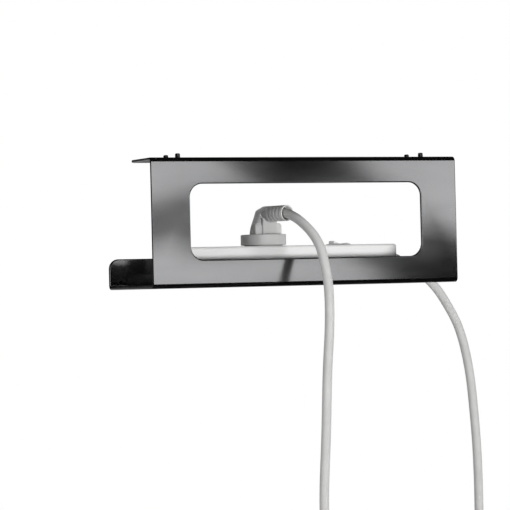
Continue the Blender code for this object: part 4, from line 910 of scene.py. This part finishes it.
def make_supply_plug(end):
    """The round two-pin plug with a fluted rim, below the tail's end."""
    sleeve = make_sleeve("supply_plug_sleeve", end, ROOT, "supply_plug_relief")
    shoulder = end.z - SLEEVE_LENGTH - GAP
    face = shoulder - SUPPLY_PLUG_LENGTH
    place = Matrix.Translation((end.x, end.y, 0))
    profile = [
        (0, face), (17.4 * MM, face, 0.6 * MM), (17.8 * MM, face + 1 * MM, 0.3 * MM),
               (17.8 * MM, face + 11 * MM, 0.2 * MM),
        (19.4 * MM, face + 11.6 * MM, 0.4 * MM), (19.4 * MM, face + 15 * MM, 1 * MM),
               (15 * MM, face + 18 * MM, 2.5 * MM),
        (13 * MM, face + 24 * MM, 4 * MM), (14 * MM, face + 31 * MM, 3 * MM),
               (11 * MM, shoulder - 0.8 * MM, 1.5 * MM),
        (8 * MM, shoulder, 0.3 * MM), (0, shoulder)]
    body = lathe("supply_plug_shell", profile, PLUG_WHITE_PAINTED_SHADE, place, 72)
    bm = bmesh.new()
    for side in (-1, 1):
        x = end.x + side * PIN_SPREAD
        add_cylinder(bm, (x, end.y, face - 1 * MM), (x, end.y, face + 6 * MM), PIN_RADIUS + GAP, 32)
    for i in range(20):
        angle = 2 * pi * i / 20
        x, y = end.x + 19.9 * MM * cos(angle), end.y + 19.9 * MM * sin(angle)
        add_cylinder(bm, (x, y, face + 11 * MM), (x, y, face + 16 * MM), 0.9 * MM, 12)
    cut(body, bm)
    keep(body, ROOT, "white_plastic", "supply_plug_body")
    make_pin("supply_plug_live_pin", end.x - PIN_SPREAD, end.y, face, ROOT, "supply_plug_pin_live")
    make_pin("supply_plug_neutral_pin", end.x + PIN_SPREAD, end.y, face, ROOT, "supply_plug_pin_neutral")
    return [sleeve, body, bpy.data.objects["supply_plug_live_pin"],
            bpy.data.objects["supply_plug_neutral_pin"]]


connector = make_connector(tail_end(APPLIANCE_TURNS, APPLIANCE_RADIUS, APPLIANCE))
supply_plug = make_supply_plug(tail_end(SUPPLY_TURNS, SUPPLY_RADIUS, SUPPLY))

# ---------------------------------------------------------------- CAD nodes that stay

KEPT = {
    "strip_foot": (RUBBER, "foot_rubber"), "shell_screw": (ZINC, "zinc_steel"),
        "clamp_screw": (ZINC, "zinc_steel"),
    "cord_clamp": (LIGHT, "light_plastic"), "earth_clip": (BRASS, "brass"), "live_rail": (BRASS, "brass"),
    "neutral_rail": (BRASS, "brass"), "earth_rail": (BRASS, "brass"), "plug_earth": (BRASS, "brass"),
    "core_live": (BROWN, "brown_core"), "switch_link": (BROWN, "brown_core"),
        "core_neutral": (BLUE, "blue_core"),
    "core_earth": (GREEN, "green_core"),
}
for node_name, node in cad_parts.items():
    for start, (mat, slot_name) in KEPT.items():
        if node_name.startswith(start):
            node.data.materials.clear()
            node.data.materials.append(mat)

# ---------------------------------------------------------------- floor, light and camera

FLOOR_MIDDLE, FLOOR_RADIUS = (0.1, 0.3, -0.60), 2.6

bm = bmesh.new()
bmesh.ops.create_circle(bm, cap_ends=True, segments=96, radius=FLOOR_RADIUS)
floor = finish_mesh("floor", bm, FLOOR, Matrix.Translation(FLOOR_MIDDLE))


def soft_light(name, place, target, size, energy):
    """A rectangular light that neither the camera nor a mirror image shows."""
    data = bpy.data.lights.new(name, "AREA")
    data.shape = "RECTANGLE"
    data.size, data.size_y = size
    data.energy = energy
    obj = bpy.data.objects.new(name, data)
    obj.location = place
    obj.rotation_mode = "QUATERNION"
    obj.rotation_quaternion = (Vector(target) - Vector(place)).to_track_quat("-Z", "Y")
    bpy.context.scene.collection.objects.link(obj)
    obj.visible_camera = False
    obj.visible_glossy = False
    return obj


def glow(name, strength):
    """A card's even, unlit grey."""
    m = bpy.data.materials.new(name)
    m.use_nodes = True
    shader = m.node_tree.nodes["Principled BSDF"]
    shader.inputs["Base Color"].default_value = (0, 0, 0, 1)
    shader.inputs["Specular IOR Level"].default_value = 0
    shader.inputs["Emission Color"].default_value = (1, 1, 1, 1)
    shader.inputs["Emission Strength"].default_value = strength
    m.cycles.emission_sampling = "NONE"
    return m


def card(name, corners, mat):
    """A flat card that only mirror images show. The lacquered plate mirrors it."""
    bm = bmesh.new()
    bm.faces.new([bm.verts.new(p) for p in corners])
    obj = finish_mesh(name, bm, mat)
    obj.visible_camera = False
    obj.visible_diffuse = False
    obj.visible_shadow = False
    obj.visible_transmission = False
    return obj


def upright(x0, x1, z0, z1, y):
    """Corners of a card that faces along Y."""
    return [(x0, y, z0), (x1, y, z0), (x1, y, z1), (x0, y, z1)]


def level(x0, x1, y0, y1, z):
    """Corners of a card that faces along Z."""
    return [(x0, y0, z), (x1, y0, z), (x1, y1, z), (x0, y1, z)]


BRIGHT = glow("bright_card", 4.0)
BLACK = glow("black_card", 0.02)
DARK = glow("dark_card", 0.03)
DIM = glow("dim_card", 0.8)
# What the plate mirrors: one bright card, and darker ones before and around it. Their places were fitted
# to the greys of the plate in the photograph.
card("card_front", upright(-0.5, 0.95, -0.17, 0.10, -0.66), BRIGHT)
card("flag_top", [(x, -0.62, z) for x, z in (
    (0.225, -0.02), (0.385, -0.02), (0.352, 0.025), (0.33, 0.12), (0.15, 0.12), (0.19, 0.025))], BLACK)
card("flag_middle", upright(-0.3, 0.30, -0.074, -0.004, -0.635), DIM)
card("flag_right", [(x, -0.62, z) for x, z in (
    (0.369, -0.2), (0.96, -0.2), (0.96, -0.1), (0.55, -0.09), (0.46, -0.066), (0.4, -0.036), (0.33, -0.036),
    (0.33, -0.09), (0.362, -0.115))], BLACK)
card("flag_above", upright(-0.9, 1.3, 0.10, 0.32, -0.65), BLACK)
card("flag_below", upright(-0.9, 1.3, -0.58, -0.17, -0.65), BLACK)
card("flag_high", level(-0.9, 1.4, -0.66, 1.4, 0.32), DARK)
card("flag_low", level(-0.9, 1.4, -0.66, 1.4, -0.58), DARK)
card("flag_left", [(-0.9, -0.66, -0.58), (-0.9, 1.4, -0.58), (-0.9, 1.4, 0.32), (-0.9, -0.66, 0.32)], DARK)

# This one is not mirrored: it keeps the left light from reaching the plug through the tray's open end.
shade = card("flag_end",
             [(-0.19, y, z) for y, z in ((-0.045, -0.2), (0.25, -0.2), (0.25, 0.05), (-0.045, 0.05))],
             BLACK)
shade.visible_diffuse = True
shade.visible_glossy = False
shade.visible_shadow = True

# The camera sees a white backdrop; everything else is lit by a weaker one.
WORLD_STRENGTH = 0.17
world = bpy.data.worlds.new("studio")
bpy.context.scene.world = world
world.use_nodes = True
world_nodes, world_links = world.node_tree.nodes, world.node_tree.links
background = world_nodes["Background"]
background.inputs["Strength"].default_value = WORLD_STRENGTH
backdrop = world_nodes.new("ShaderNodeBackground")
backdrop.inputs["Color"].default_value = (1, 1, 1, 1)
background.inputs["Color"].default_value = (1, 1, 1, 1)
path = world_nodes.new("ShaderNodeLightPath")
mix = world_nodes.new("ShaderNodeMixShader")
world_links.new(path.outputs["Is Camera Ray"], mix.inputs["Fac"])
world_links.new(background.outputs["Background"], mix.inputs[1])
world_links.new(backdrop.outputs["Background"], mix.inputs[2])
world_links.new(mix.outputs["Shader"], world_nodes["World Output"].inputs["Surface"])
world.cycles.sampling_method = "NONE"
bpy.context.scene.view_settings.view_transform = "Standard"
soft_light("key_light", (0.65, -2.2, -0.28), (0, 0, -0.1), (1.0, 0.28), 42)
soft_light("left_light", (-2.08, -0.78, 0.1), (0, 0, -0.12), (0.55, 0.8), 15)
soft_light("top_light", (-0.1, -0.1, 2.2), (0, 0, -0.12), (2.0, 2.0), 45)
soft_light("back_light", (0.5, 2.2, 0.8), (0, 0, -0.12), (1.5, 1.5), 14)

CAMERA_PLACE, FOCAL_LENGTH = (-1.01058, -2.21025, -0.11972), 189.97
YAW, PITCH, ROLL = 0.41311, 0.01368, -0.02473
forward = Vector((sin(YAW) * cos(PITCH), cos(YAW) * cos(PITCH), sin(PITCH)))
right = Vector((cos(YAW), -sin(YAW), 0))
up = right.cross(forward)
right, up = cos(ROLL) * right + sin(ROLL) * up, -sin(ROLL) * right + cos(ROLL) * up
camera_data = bpy.data.cameras.new("camera")
camera_data.sensor_width = 36
camera_data.lens = FOCAL_LENGTH
camera_data.clip_start = 0.05
camera = bpy.data.objects.new("camera", camera_data)
bpy.context.scene.collection.objects.link(camera)
camera.matrix_world = Matrix.Translation(CAMERA_PLACE) @ Matrix(
    (right, up, -forward)).transposed().to_4x4()
bpy.context.scene.camera = camera
